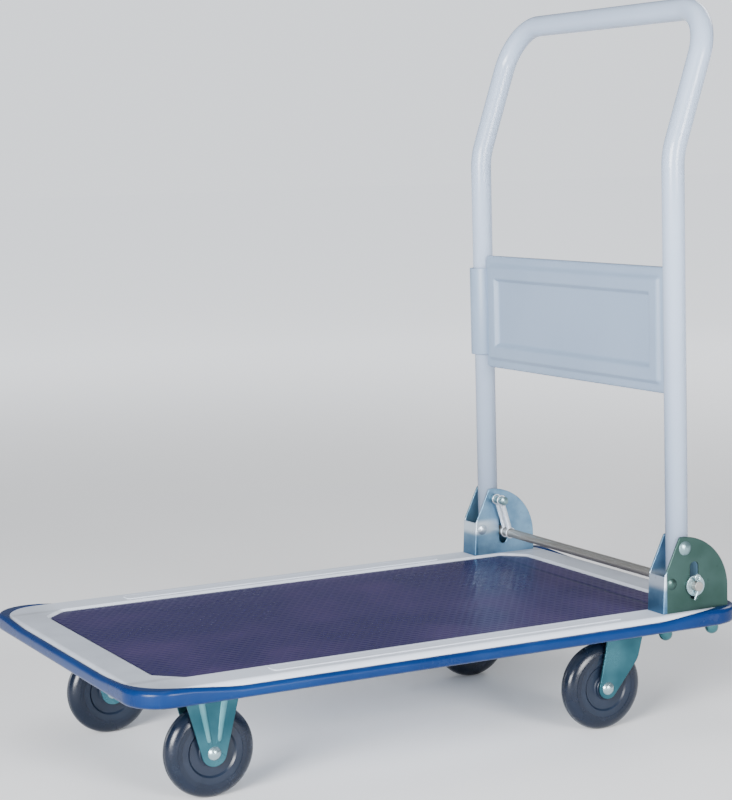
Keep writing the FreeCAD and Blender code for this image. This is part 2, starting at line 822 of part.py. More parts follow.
def make_fixed_fork(label, x, y):
    """Two tapered legs with converging ribs, bent down from a slotted plate."""
    body = new_body(label)
    drop = fixed_leg_end / sine(fixed_leg_flare)
    point_height = axle_height - drop
    leg = new_sketch(body, "XZ_Plane")
    shoulder = (plate_underside - point_height) * tangent(fixed_leg_flare)
    draw_outline(
        leg,
        [(-shoulder, plate_underside), (0, point_height, fixed_leg_end), (shoulder, plate_underside)],
    )
    pad(body, leg, 2 * fork_half, symmetric=True)
    ribs = new_sketch(body, "XZ_Plane")
    rib_top = plate_underside - rib_top_margin
    rib_foot = axle_height + rib_end_height
    for side in (-1, 1):
        draw_outline(
            ribs,
            [
                (side * (rib_top_offset - rib_top_width / 2), rib_top),
                (side * (rib_top_offset + rib_top_width / 2), rib_top),
                (side * (rib_end_offset + rib_end_width / 2), rib_foot),
                (side * (rib_end_offset - rib_end_width / 2), rib_foot),
            ],
        )
    pad(body, ribs, 2 * (fork_half + rib_height), symmetric=True)
    between = new_sketch(body, "XZ_Plane")
    draw_outline(between, rectangle(0, plate_underside / 2, 2 * plate_length, plate_underside))
    pocket(body, between, fork_gap, symmetric=True)
    slotted_plate(body)
    bore = new_sketch(body, "XZ_Plane")
    draw_circle(bore, 0, axle_height, axle_radius)
    pocket(body, bore, 4 * fork_half, symmetric=True)
    put(body, x, y)


def swivel_leg_outlines():
    """The raked leg from the side, and the narrow rim that runs down its trailing edge."""
    axle = -trail
    crown = crown_underside + crown_sheet / 2
    end = swivel_leg_end
    foot = (axle - end * cosine(trailing_edge_lean), axle_height + end * sine(trailing_edge_lean))
    toe = (axle + end * cosine(leading_edge_lean), axle_height - end * sine(leading_edge_lean))
    knee_z = axle_height + leading_knee_rise
    knee_x = toe[0] + (knee_z - toe[1]) * tangent(leading_edge_lean)
    top_x = knee_x + (crown - knee_z) * tangent(leading_top_lean)
    back_x = foot[0] + (crown - foot[1]) * tangent(trailing_edge_lean)
    knee = (knee_x, knee_z, leading_knee_rounding)
    leg = [foot, (back_x, crown), (top_x, crown), knee, toe]
    rim = [foot, (back_x, crown), (back_x + rim_width, crown), (foot[0] + rim_width, foot[1])]
    return leg, rim


def make_swivel_fork(label, x, y):
    """Two raked legs under a round crown, with a rolled rim along the trailing edge."""
    body = new_body(label)
    leg_outline, rim_outline = swivel_leg_outlines()
    leg = new_sketch(body, "XZ_Plane")
    draw_outline(leg, leg_outline)
    pad(body, leg, 2 * fork_half, symmetric=True)
    end = new_sketch(body, "XZ_Plane")
    draw_circle(end, -trail, axle_height, swivel_leg_end)
    pad(body, end, 2 * fork_half, symmetric=True)
    rim = new_sketch(body, "XZ_Plane")
    draw_outline(rim, rim_outline)
    pad(body, rim, 2 * (fork_half + rib_height), symmetric=True)
    between = new_sketch(body, "XZ_Plane")
    draw_outline(between, rectangle(0, crown_underside / 2, 8 * trail, crown_underside))
    pocket(body, between, fork_gap, symmetric=True)
    crown = new_sketch(body, "XY_Plane", crown_underside)
    draw_circle(crown, 0, 0, crown_radius)
    pad(body, crown, crown_sheet)
    bore = new_sketch(body, "XZ_Plane")
    draw_circle(bore, -trail, axle_height, axle_radius)
    pocket(body, bore, 4 * fork_half, symmetric=True)
    kingpin_hole = new_sketch(body, "XY_Plane", crown_top)
    draw_circle(kingpin_hole, 0, 0, kingpin_radius + running_clearance)
    pocket(body, kingpin_hole, 2 * crown_sheet)
    put(body, x, y)


def make_top_plate(label, x, y):
    body = new_body(label)
    slotted_plate(body)
    hole = new_sketch(body, "XY_Plane", mount_height)
    draw_circle(hole, 0, 0, kingpin_radius)
    pocket(body, hole, plate_sheet)
    put(body, x, y)


def make_kingpin(label, x, y):
    """Rivet that holds the crown up against the balls, its upper end swaged in the top plate."""
    body = new_body(label)
    profile = new_sketch(body, "XZ_Plane")
    head_top = crown_underside - side_clearance
    head_foot = head_top - kingpin_head_height
    draw_outline(
        profile,
        [
            (0, head_foot),
            (kingpin_head_radius, head_foot, kingpin_head_height / 2),
            (kingpin_head_radius, head_top),
            (kingpin_radius, head_top),
            (kingpin_radius, mount_height),
            (0, mount_height),
        ],
    )
    revolve(body, profile, "Z_Axis")
    put(body, x, y)


def make_balls(label, x, y):
    """Ring of bearing balls between the crown and the top plate."""
    balls = []
    for i in range(ball_count):
        turn = Size(360 * i / ball_count, repr(360 * i / ball_count))
        ball = sphere(f"{label}_{i}", ball_radius)
        put(ball, x + race_radius * cosine(turn), y + race_radius * sine(turn), ball_height)
        balls.append(ball)
    group(label, balls)


def make_cage(label, x, y):
    """Flat ring that keeps the balls apart."""
    body = new_body(label)
    ring = new_sketch(body, "XY_Plane", ball_height - cage_sheet / 2)
    draw_circle(ring, 0, 0, race_radius + cage_width / 2)
    draw_circle(ring, 0, 0, race_radius - cage_width / 2)
    for i in range(ball_count):
        turn = Size(360 * i / ball_count, repr(360 * i / ball_count))
        ball_x, ball_y = race_radius * cosine(turn), race_radius * sine(turn)
        draw_circle(ring, ball_x, ball_y, ball_radius + running_clearance)
    pad(body, ring, cage_sheet)
    put(body, x, y)


def make_caster_fasteners(end, x):
    """Hexagon bolts from below and nuts on the channel's web, four to a caster."""
    head, nut, across = caster_bolt_head, caster_nut_height, caster_bolt_across
    seat = mount_height + channel_sheet
    shank_length = plate_sheet + channel_sheet + nut + thread_beyond_nut
    bolts, nuts = [], []
    for side in (-1, 1):
        for i, (dx, dy) in enumerate(bolt_offsets()):
            name = f"{end}_caster_bolt_{side + 1}_{i}"
            place_x = x + dx
            place_y = side * caster_y + dy
            hex_head = hexagon(name + "_head", across, head)
            put(hex_head, place_x, place_y, plate_underside - head)
            shank = cylinder(name + "_shank", caster_bolt_radius, shank_length)
            put(shank, place_x, place_y, plate_underside)
            bolts.append(fuse(name, [hex_head, shank]))
            blank = put(hexagon(name + "_blank", across, nut), place_x, place_y, seat)
            bore = put(cylinder(name + "_bore", caster_bolt_radius, nut), place_x, place_y, seat)
            nuts.append(cut(name + "_nut", blank, bore))
    group(f"{end}_caster_bolts", bolts)
    group(f"{end}_caster_nuts", nuts)


def make_casters():
    for side_name, side in (("left", -1), ("right", 1)):
        y = side * caster_y
        front, rear = f"front_{side_name}", f"rear_{side_name}"
        make_fixed_fork(f"{front}_fork", -caster_x, y)
        make_top_plate(f"{rear}_top_plate", caster_x, y)
        make_kingpin(f"{rear}_kingpin", caster_x, y)
        make_balls(f"{rear}_balls", caster_x, y)
        make_cage(f"{rear}_ball_cage", caster_x, y)
        make_swivel_fork(f"{rear}_fork", caster_x, y)
        for corner, x in ((front, -caster_x), (rear, caster_x - trail)):
            make_tyre(f"{corner}_tyre", x, y)
            make_hub(f"{corner}_hub", x, y)
            make_bush(f"{corner}_bush", x, y)
            make_axle(f"{corner}_axle", x, y)
    make_caster_fasteners("front", -caster_x)
    make_caster_fasteners("rear", caster_x)


# ---------------------------------------------------------------- hinge brackets


def make_hinge_bracket(label, y):
    """Folded bracket: two side plates joined by a base and a front web, slotted for the release bar."""
    body = new_body(label)
    web_top = pivot_height - bracket_web_drop
    crest_x = bracket_rear_x - bracket_arc - bracket_crest_length
    crest_z = pivot_height + bracket_crest
    side = new_sketch(body, "XZ_Plane")
    draw_outline(
        side,
        [
            (bracket_front_x, deck_top),
            (bracket_rear_x, deck_top),
            (bracket_rear_x, crest_z, bracket_arc),
            (crest_x, crest_z, bracket_crest_rounding),
            (bracket_front_x + bracket_front_lean, web_top),
        ],
    )
    pad(body, side, 2 * bracket_half, symmetric=True)
    round_edges(body, bracket_bend, lambda edge: upright_front_edge(edge, web_top.value))
    hollow = new_sketch(body, "XZ_Plane")
    draw_outline(
        hollow,
        [
            (bracket_front_x + bracket_sheet, base_top),
            (bracket_rear_x + bracket_sheet, base_top),
            (bracket_rear_x + bracket_sheet, crest_z + bracket_sheet),
            (bracket_front_x - bracket_sheet, crest_z + bracket_sheet),
            (bracket_front_x - bracket_sheet, web_top),
            (bracket_front_x + bracket_front_lean + bracket_sheet, web_top),
        ],
    )
    pocket(body, hollow, bracket_gap, symmetric=True)
    holes = new_sketch(body, "XZ_Plane")
    draw_circle(holes, pivot_x, pivot_height, pivot_radius)
    draw_circle(holes, stop_x, stop_height, stop_radius)
    slot_foot = bar_height - bar_travel - bar_radius - slot_clearance
    slot_top = bar_height + slot_top_rise
    slot_half = bar_radius + slot_clearance
    slot_middle = (slot_foot + slot_top) / 2
    slot_rounding = slot_half - slot_end_flat / 2
    slot_rise = slot_top - slot_foot
    draw_outline(holes, rectangle(bar_x, slot_middle, 2 * slot_half, slot_rise, slot_rounding))
    pocket(body, holes, 4 * bracket_half, symmetric=True)
    bolt_holes = new_sketch(body, "XY_Plane", base_top)
    for x in (pivot_x - hinge_bolt_front, pivot_x + hinge_bolt_rear):
        draw_circle(bolt_holes, x, 0, hinge_bolt_radius + bolt_clearance)
    pocket(body, bolt_holes, 2 * bracket_sheet)
    put(body, 0, y)


def upright_front_edge(edge, web_top):
    """Is this one of the two upright bends beside the front web?"""
    if abs(edge.tangentAt(edge.FirstParameter).y) > 0.9:
        return False
    points = [v.Point for v in edge.Vertexes]
    low = min(p.z for p in points)
    high = max(p.z for p in points)
    front_limit = bracket_front_x.value + bracket_front_lean.value + 0.01
    return all(p.x < front_limit for p in points) and high <= web_top + 0.01 and high - low > 1


def make_pin(label, x, y, z, profile_points):
    """A turned pin along Y, from its half profile as (distance along the pin, radius)."""
    body = new_body(label)
    profile = new_sketch(body, "YZ_Plane")
    draw_outline(profile, profile_points)
    revolve(body, profile, "Y_Axis")
    put(body, x, y, z)


def make_hinge_pins(side_name, side, inner_reach):
    """The handle's pivot pin and the stop pin. The right pivot reaches inwards to carry two springs."""
    inner = bracket_half + inner_reach
    points = [
        (side * (-inner), 0),
        (side * (bracket_half + pivot_head_height), 0),
        (side * (bracket_half + pivot_head_height), pivot_head_radius, pivot_head_height * head_dome_share),
        (side * bracket_half, pivot_head_radius),
        (side * bracket_half, pivot_radius),
        (side * (pivot_end_collar - inner), pivot_radius),
        (side * (pivot_end_collar - inner), pivot_radius + pivot_end_collar),
        (side * (-inner), pivot_radius + pivot_end_collar),
    ]
    make_pin(f"{side_name}_pivot_pin", pivot_x, side * post_y, pivot_height, points)
    half = bracket_half + stop_head_height
    points = [
        (-half, 0),
        (half, 0),
        (half, stop_head_radius, stop_head_height * head_dome_share),
        (bracket_half, stop_head_radius),
        (bracket_half, stop_radius),
        (-bracket_half, stop_radius),
        (-bracket_half, stop_head_radius),
        (-half, stop_head_radius, stop_head_height * head_dome_share),
    ]
    make_pin(f"{side_name}_stop_pin", stop_x, side * post_y, stop_height, points)


def make_spring(label, y):
    """Return spring as its closed envelope: a coil with an eye round the pin and one round the bar."""
    tilt = Size(
        math.degrees(math.atan(bar_offset.value / bar_drop.value)),
        f"atan({bar_offset.text} / {bar_drop.text})",
    )
    along_x, along_z = bar_offset / bar_reach, -bar_drop / bar_reach
    margin = (bar_reach - spring_coil_length) / 2

    def at(obj, distance, lean=True):
        if lean:
            turned(obj, (0, -1, 0), tilt.value)
            bind(obj, "Placement.Rotation.Angle", tilt)
        put(obj, pivot_x + along_x * distance, y, pivot_height + along_z * distance)
        return obj

    upper_ring = pivot_radius + spring_eye_gap + spring_wire
    lower_ring = bar_radius + spring_eye_gap + spring_wire
    upper_eye = torus(label + "_upper_eye", upper_ring, spring_wire)
    lower_eye = torus(label + "_lower_eye", lower_ring, spring_wire)
    neck_start = upper_ring
    neck_end = bar_reach - lower_ring
    parts = [
        at(turned(upper_eye, (1, 0, 0), 90), as_size(0), lean=False),
        at(turned(lower_eye, (1, 0, 0), 90), bar_reach, lean=False),
        at(cylinder(label + "_coil", spring_radius, spring_coil_length), margin + spring_coil_length),
        at(cylinder(label + "_neck", spring_wire, neck_end - neck_start), neck_end),
    ]
    as_piece(fuse(label, parts), label)


def make_hinge_fasteners():
    """Two bolts to a bracket, with spacers inside the deck and cap nuts below it."""
    bolts, spacers, nuts = [], [], []
    nut_top = mount_height
    dome_radius = cap_nut_across / 2 - cap_nut_dome_inset
    dome_centre = nut_top - cap_nut_length + dome_radius
    thread_end = nut_top - cap_nut_length + cap_nut_end_wall
    bore_radius = hinge_bolt_radius + spacer_clearance
    space = border_underside - mount_height - channel_sheet
    seat = mount_height + channel_sheet
    for i, (x, y) in enumerate(hinge_bolt_places()):
        name = f"hinge_bolt_{i}"
        head = hexagon(name + "_head", hinge_bolt_across, hinge_bolt_head)
        put(head, x, y, base_top)
        shank = cylinder(name + "_shank", hinge_bolt_radius, base_top - thread_end)
        put(shank, x, y, thread_end)
        bolts.append(fuse(name, [head, shank]))
        outer = put(cylinder(name + "_spacer", bore_radius + spacer_wall, space), x, y, seat)
        inner = put(cylinder(name + "_spacer_bore", bore_radius, space), x, y, seat)
        spacers.append(cut(name + "_spacer_tube", outer, inner))
        hexagonal = hexagon(name + "_nut_hex", cap_nut_across, cap_nut_hex)
        put(hexagonal, x, y, nut_top - cap_nut_hex)
        neck = cylinder(name + "_nut_neck", dome_radius, nut_top - dome_centre)
        put(neck, x, y, dome_centre)
        dome = put(sphere(name + "_nut_dome", dome_radius), x, y, dome_centre)
        bore = cylinder(name + "_nut_bore", hinge_bolt_radius, nut_top - thread_end)
        put(bore, x, y, thread_end)
        nuts.append(cut(name + "_cap_nut", fuse(name + "_nut_body", [hexagonal, neck, dome]), bore))
    group("hinge_bolts", bolts)
    group("hinge_bolt_spacers", spacers)
    group("hinge_cap_nuts", nuts)


# ---------------------------------------------------------------- release bar


def make_release_bar():
    """Steel rod through both brackets; a foot on it frees the handle."""
    half = post_y + bracket_half + bar_overhang
    rod = turned(cylinder("release_bar_rod", bar_radius, 2 * half), (1, 0, 0), -90)
    put(rod, bar_x, -half, bar_height)
    drills = []
    for side in (-1, 1):
        drill = cylinder(f"release_bar_drill_{side + 1}", split_pin_radius + bolt_clearance, 4 * bar_radius)
        drills.append(put(drill, bar_x, side * (half - split_pin_setback), bar_height - 2 * bar_radius))
    as_piece(cut("release_bar", rod, fuse("release_bar_drills", drills)), "release_bar")
    washers, pins = [], []
    eye_ring = split_pin_radius * split_pin_eye_share
    eye_z = bar_height + bar_radius + eye_ring + split_pin_radius
    shank_foot = bar_height - bar_radius - split_pin_setback
    wire = split_pin_radius * split_pin_wire_share
    for side in (-1, 1):
        name = f"release_bar_{side + 1}"
        near = post_y + bracket_half + side_clearance
        start = near if side > 0 else -(near + washer_thickness)
        disc = turned(cylinder(name + "_disc", washer_radius, washer_thickness), (1, 0, 0), -90)
        put(disc, bar_x, start, bar_height)
        hole = turned(cylinder(name + "_hole", bar_radius, washer_thickness), (1, 0, 0), -90)
        put(hole, bar_x, start, bar_height)
        washers.append(cut(name + "_washer", disc, hole))
        y = side * (half - split_pin_setback)
        eye = turned(torus(name + "_eye", eye_ring, wire), (1, 0, 0), 90)
        put(eye, bar_x, y, eye_z)
        shank = cylinder(name + "_shank", split_pin_radius, eye_z - eye_ring - shank_foot)
        put(shank, bar_x, y, shank_foot)
        leg = turned(cylinder(name + "_leg", wire, split_pin_leg), (0, 1, 0), split_pin_leg_turn.value)
        bind(leg, "Placement.Rotation.Angle", split_pin_leg_turn)
        put(leg, bar_x, y, shank_foot + wire)
        pins.append(fuse(name + "_split_pin", [eye, shank, leg]))
    group("release_bar_washers", washers)
    group("release_bar_split_pins", pins)


# ---------------------------------------------------------------- handle


def rounded_path(points, radii):
    """A wire of straight runs joined by tangent arcs, one radius for each inner point."""
    edges = []
    start = points[0]
    for before, corner, after, radius in zip(points, points[1:], points[2:], radii):
        arc, arc_start, arc_end, _ = rounded_corner(before, corner, after, radius)
        edges.append(Part.LineSegment(start, arc_start).toShape())
        edges.append(arc.toShape())
        start = arc_end
    edges.append(Part.LineSegment(start, points[-1]).toShape())
    return Part.Wire(edges)


def make_handle_tube():
    """One bent tube: two posts that lean back near the top and a rounded crossbar."""
    foot_z = (pivot_height - heel_radius - heel_overlap).value
    bend_z = (pivot_height + bend_rise).value
    top_x = (pivot_x + lean_rise * tangent(lean_angle)).value
    top_z = bend_z + lean_rise.value
    left, right = -post_y.value, post_y.value
    points = [
        FreeCAD.Vector(pivot_x.value, left, foot_z),
        FreeCAD.Vector(pivot_x.value, left, bend_z),
        FreeCAD.Vector(top_x, left, top_z),
        FreeCAD.Vector(top_x, right, top_z),
        FreeCAD.Vector(pivot_x.value, right, bend_z),
        FreeCAD.Vector(pivot_x.value, right, foot_z),
    ]
    radii = [bend_radius.value, top_bend_radius.value, top_bend_radius.value, bend_radius.value]
    path = rounded_path(points, radii)
    start = points[0]

    def sweep(radius):
        ring = Part.Wire([Part.Circle(start, FreeCAD.Vector(0, 0, 1), radius).toShape()])
        return path.makePipeShell([ring], True, False)

    outer = doc.addObject("Part::Feature", "handle_tube_outer")
    outer.Shape = sweep(tube_radius.value)
    inner = doc.addObject("Part::Feature", "handle_tube_bore")
    inner.Shape = sweep((tube_radius - tube_wall).value)
    hollow = cut("handle_tube_hollow", outer, inner)
    across = 2 * post_y + 4 * tube_radius
    pivot = cylinder("handle_tube_pivot", pivot_radius + running_clearance, across)
    put(turned(pivot, (1, 0, 0), -90), pivot_x, -across / 2, pivot_height)
    drilled = cut("handle_tube_drilled", hollow, pivot)
    block = doc.addObject("Part::Box", "handle_tube_heel_block")
    bind(block, "Length", 4 * tube_radius)
    bind(block, "Width", across)
    bind(block, "Height", heel_radius)
    put(block, pivot_x - 2 * tube_radius, -across / 2, pivot_height - heel_radius - 2 * heel_overlap)
    keep = cylinder("handle_tube_heel_round", heel_radius, across)
    put(turned(keep, (1, 0, 0), -90), pivot_x, -across / 2, pivot_height)
    waste = cut("handle_tube_heel_waste", block, keep)
    as_piece(cut("handle_tube", drilled, waste), "handle_tube")


def make_handle_panel():
    """Pressed sheet between the posts, with lips all round, a raised frame and a sunk field.

    On the right post a band of the same sheet also wraps round the front of the tube."""
    body = new_body("handle_panel")
    middle = pivot_height + panel_bottom_rise + panel_height / 2
    face = pivot_x - panel_lip / 2
    lips = new_sketch(body, "YZ_Plane", face)
    draw_outline(lips, rectangle(0, middle, 2 * panel_half, panel_height))
    pad(body, lips, panel_lip)
    inside = 2 * panel_sheet
    behind = new_sketch(body, "YZ_Plane", face + panel_sheet)
    draw_outline(behind, rectangle(0, middle, 2 * panel_half - inside, panel_height - inside))
    pocket(body, behind, panel_lip, flip=True)
    length = 2 * (panel_half - frame_side_margin)
    rise = panel_height - 2 * frame_end_margin
    frame = new_sketch(body, "YZ_Plane", face)
    draw_outline(frame, rectangle(0, middle, length, rise, frame_rounding))
    pad(body, frame, frame_height, flip=True, taper=-frame_slope)
    frame_inside = new_sketch(body, "YZ_Plane", face + panel_sheet)
    draw_outline(frame_inside, rectangle(0, middle, length - inside, rise - inside, frame_rounding))
    pocket(body, frame_inside, frame_height, taper=-frame_slope)
    front = face - frame_height
    length = length - 2 * frame_width
    rise = rise - 2 * frame_width
    field_depth = frame_height + field_sink
    field = new_sketch(body, "YZ_Plane", front + panel_sheet)
    draw_outline(field, rectangle(0, middle, length + inside, rise + inside, frame_rounding))
    pad(body, field, field_depth, taper=-frame_slope)
    sunk = new_sketch(body, "YZ_Plane", front)
    draw_outline(sunk, rectangle(0, middle, length, rise, frame_rounding))
    pocket(body, sunk, field_depth, flip=True, taper=-frame_slope)
    wrap = new_sketch(body, "XY_Plane", middle - wrap_height / 2)
    draw_wrap(wrap)
    pad(body, wrap, wrap_height)


def draw_wrap(sketch):
    """Half ring about the right post, from its inner side round the front to its outer side."""
    centre = FreeCAD.Vector(pivot_x.value, post_y.value, 0)
    upward = FreeCAD.Vector(0, 0, 1)
    inner, outer = tube_radius, tube_radius + wrap_sheet
    arcs = []
    for radius in (inner, outer):
        circle = Part.Circle(centre, upward, radius.value)
        arc = sketch.addGeometry(Part.ArcOfCircle(circle, math.pi / 2, 3 * math.pi / 2))
        index = sketch.addConstraint(Sketcher.Constraint("Radius", arc, radius.value))
        bind(sketch, f"Constraints[{index}]", radius)
        fix_point(sketch, arc, 3, pivot_x, post_y)
        arcs.append(arc)
    for point, side in ((1, 1), (2, -1)):
        ends = [centre + FreeCAD.Vector(0, side * radius.value, 0) for radius in (inner, outer)]
        line = sketch.addGeometry(Part.LineSegment(*ends))
        sketch.addConstraint(Sketcher.Constraint("Coincident", line, 1, arcs[0], point))
        sketch.addConstraint(Sketcher.Constraint("Coincident", line, 2, arcs[1], point))
        sketch.addConstraint(Sketcher.Constraint("Vertical", line))
    for end in (1, 2):
        sketch.addConstraint(Sketcher.Constraint("Vertical", arcs[0], end, arcs[0], 3))


make_deck_sheet()
make_mat()
make_bumper()
make_front_channel()
make_rear_channel()
make_casters()
for name, sign, reach in (("left", -1, pivot_end_collar), ("right", 1, pivot_reach)):
    make_hinge_bracket(f"{name}_hinge_bracket", sign * post_y)
    make_hinge_pins(name, sign, reach)
make_spring("right_outer_spring", post_y - bracket_half - spring_first_offset)
make_spring("right_inner_spring", post_y - bracket_half - spring_second_offset)
make_hinge_fasteners()
make_release_bar()
make_handle_tube()
make_handle_panel()

# ---------------------------------------------------------------- checks and export

doc.recompute()
for obj in doc.Objects:
    if "Invalid" in obj.State or "Error" in obj.State:
        raise RuntimeError(f"{obj.Label} failed: {obj.State}")
for piece in pieces:
    if piece.Shape.isNull() or not piece.Shape.isValid():
        raise RuntimeError(f"{piece.Label} has no valid shape")
    piece.Shape.exportStep(f"parts/{piece.Label}.step")
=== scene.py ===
import json
from math import atan2, cos, hypot, pi, radians, sin

import bmesh
import bpy
from mathutils import Matrix, Vector
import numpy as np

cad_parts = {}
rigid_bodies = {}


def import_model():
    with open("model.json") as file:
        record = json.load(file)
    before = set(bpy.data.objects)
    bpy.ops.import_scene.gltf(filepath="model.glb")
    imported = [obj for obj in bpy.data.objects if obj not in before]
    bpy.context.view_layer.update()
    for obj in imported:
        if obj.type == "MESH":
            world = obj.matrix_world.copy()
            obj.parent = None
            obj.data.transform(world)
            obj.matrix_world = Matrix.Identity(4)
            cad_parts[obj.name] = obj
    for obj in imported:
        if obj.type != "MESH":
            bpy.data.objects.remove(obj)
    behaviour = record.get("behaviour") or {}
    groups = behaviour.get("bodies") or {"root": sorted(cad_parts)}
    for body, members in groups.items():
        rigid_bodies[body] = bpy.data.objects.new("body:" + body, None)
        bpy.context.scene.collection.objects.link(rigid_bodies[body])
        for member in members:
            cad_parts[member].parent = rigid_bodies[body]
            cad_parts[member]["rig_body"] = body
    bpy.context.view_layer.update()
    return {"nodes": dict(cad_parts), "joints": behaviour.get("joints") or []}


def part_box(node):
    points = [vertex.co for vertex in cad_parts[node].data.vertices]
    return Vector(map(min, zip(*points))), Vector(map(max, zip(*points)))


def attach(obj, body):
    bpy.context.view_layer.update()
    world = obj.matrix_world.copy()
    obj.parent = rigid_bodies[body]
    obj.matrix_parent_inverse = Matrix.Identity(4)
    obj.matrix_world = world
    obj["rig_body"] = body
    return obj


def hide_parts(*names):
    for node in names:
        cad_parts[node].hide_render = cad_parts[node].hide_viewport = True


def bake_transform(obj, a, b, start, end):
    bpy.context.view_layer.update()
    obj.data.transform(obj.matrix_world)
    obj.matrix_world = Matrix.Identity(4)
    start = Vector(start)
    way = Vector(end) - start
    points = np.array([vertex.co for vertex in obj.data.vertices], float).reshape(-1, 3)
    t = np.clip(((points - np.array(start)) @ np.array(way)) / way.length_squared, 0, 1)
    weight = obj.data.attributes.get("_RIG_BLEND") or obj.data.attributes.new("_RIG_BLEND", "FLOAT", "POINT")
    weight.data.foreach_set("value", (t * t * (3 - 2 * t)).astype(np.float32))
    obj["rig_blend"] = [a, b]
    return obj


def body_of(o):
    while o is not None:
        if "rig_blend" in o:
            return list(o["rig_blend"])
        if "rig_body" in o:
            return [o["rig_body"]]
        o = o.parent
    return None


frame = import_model()

# ---------------------------------------------------------------- floor
# Plain pale studio floor that the cart stands on. It is not part of the cart. Its far part glows, so
# that the camera sees no line where the floor meets the room.
# Its finish is the first one here, so the classes that build node trees stand in this section.

FLOOR_WIDTH = 60.0
FLOOR_PAINT = (246, 247, 249)
FLOOR_GLOW = 1.2
GLOW_START, GLOW_END = 1.2, 5.0
ROOM_PAINT = (240, 244, 250)


def colour(red, green, blue):
    """A colour from its everyday 0-255 values."""
    values = (red, green, blue)
    linear = [(c / 255 / 12.92) if c <= 10 else ((c / 255 + 0.055) / 1.055) ** 2.4 for c in values]
    return (*linear, 1.0)


class Signal:
    """One output of a node. Arithmetic on it adds Math nodes to the same tree."""

    def __init__(self, nodes, socket):
        self.nodes = nodes
        self.socket = socket

    def maths(self, operation, *others):
        values = dict(enumerate((self, *others)))
        return self.nodes.add("ShaderNodeMath", {"operation": operation}, values)

    def __add__(self, other):
        return self.maths("ADD", other)

    def __sub__(self, other):
        return self.maths("SUBTRACT", other)

    def __rsub__(self, other):
        return self.maths("MULTIPLY_ADD", -1.0, other)

    def __mul__(self, other):
        return self.maths("MULTIPLY", other)

    def __truediv__(self, other):
        return self.maths("DIVIDE", other)

    def __neg__(self):
        return self.maths("MULTIPLY", -1.0)

    __radd__ = __add__
    __rmul__ = __mul__

    def between(self, low, high):
        """0 below low, 1 above high, and a smooth rise from one to the other."""
        values = {"Value": self, "From Min": low, "From Max": high}
        return self.nodes.add("ShaderNodeMapRange", {"interpolation_type": "SMOOTHSTEP"}, values)

    def at_least(self, other):
        return self.maths("MAXIMUM", other)

    def at_most(self, other):
        return self.maths("MINIMUM", other)

    def size(self):
        return self.maths("ABSOLUTE")


class Nodes:
    """A node tree, of a material or of Geometry Nodes."""

    def __init__(self, tree):
        self.tree = tree

    def add(self, kind, settings=None, values=None, output=0):
        """Add a node: its settings first, then a value or a Signal for each socket."""
        node = self.tree.nodes.new(kind)
        for name, setting in (settings or {}).items():
            setattr(node, name, setting)
        for name, value in (values or {}).items():
            if isinstance(value, Signal):
                self.tree.links.new(value.socket, node.inputs[name])
            else:
                node.inputs[name].default_value = value
        return Signal(self, node.outputs[output])


class Finish(Nodes):
    """A material: uniform values sit on the shader's own sockets, varying ones are linked to it."""

    def __init__(self, name, **uniform):
        self.material = bpy.data.materials.new(name)
        self.material.use_nodes = True
        super().__init__(self.material.node_tree)
        self.shader = self.tree.nodes["Principled BSDF"]
        for key, value in uniform.items():
            self.shader.inputs[key.replace("_", " ").title().replace("Ior", "IOR")].default_value = value
        self.place = self.add("ShaderNodeTexCoord", output=3)

    def stretched(self, x, y, z):
        """Object coordinates drawn out along the axes with the smaller factors."""
        return self.add("ShaderNodeMapping", {}, {"Vector": self.place, "Scale": (x, y, z)})

    def noise(self, scale, detail=3.0, roughness=0.5, place=None):
        values = {"Vector": place or self.place, "Scale": scale, "Detail": detail, "Roughness": roughness}
        return self.add("ShaderNodeTexNoise", {}, values)

    def blend(self, amount, first, second):
        """A mix of two colours, each a colour or a Signal."""
        settings = {"data_type": "RGBA", "clamp_factor": True}
        return self.add("ShaderNodeMix", settings, {0: amount, 6: first, 7: second}, 2)

    def along(self, axis):
        return self.add("ShaderNodeSeparateXYZ", {}, {"Vector": self.place}, "XYZ".index(axis))

    def link(self, **varying):
        for key, value in varying.items():
            self.tree.links.new(value.socket, self.shader.inputs[key.replace("_", " ").title()])

    def relief(self, *layers):
        """Bumps one over another, each a height Signal with its depth in metres."""
        normal = None
        for height, depth in layers:
            values = {"Height": height, "Distance": depth, "Strength": 1.0}
            if normal:
                values["Normal"] = normal
            normal = self.add("ShaderNodeBump", {}, values)
        self.link(normal=normal)


def place_object(name, mesh, *materials):
    piece = bpy.data.objects.new(name, mesh)
    bpy.context.scene.collection.objects.link(piece)
    for material in materials:
        mesh.materials.append(material)
    return piece


floor_finish = Finish("floor_paint", roughness=0.9, emission_strength=FLOOR_GLOW)
floor_tone = floor_finish.noise(1.5, 2.0)
shade = floor_finish.blend(floor_tone, colour(*FLOOR_PAINT), colour(*(c - 4 for c in FLOOR_PAINT)))
across, along = floor_finish.along("X"), floor_finish.along("Y")
distance = (across * across + along * along).maths("SQRT")
glow = floor_finish.blend(distance.between(GLOW_START, GLOW_END), colour(0, 0, 0), colour(*ROOM_PAINT))
floor_finish.link(base_color=shade, emission_color=glow)
floor_mesh = bpy.data.meshes.new("floor")
half = FLOOR_WIDTH / 2
floor_mesh.from_pydata(
    [(-half, -half, 0), (half, -half, 0), (half, half, 0), (-half, half, 0)], [], [(0, 1, 2, 3)]
)
floor = place_object("floor", floor_mesh, floor_finish.material)

# ---------------------------------------------------------------- studio
# Large soft lights in a pale room: a low key from the left of the camera, a fill from its right, a
# weaker sheet overhead, and a light behind for the edges. The room looks brighter than it shines.

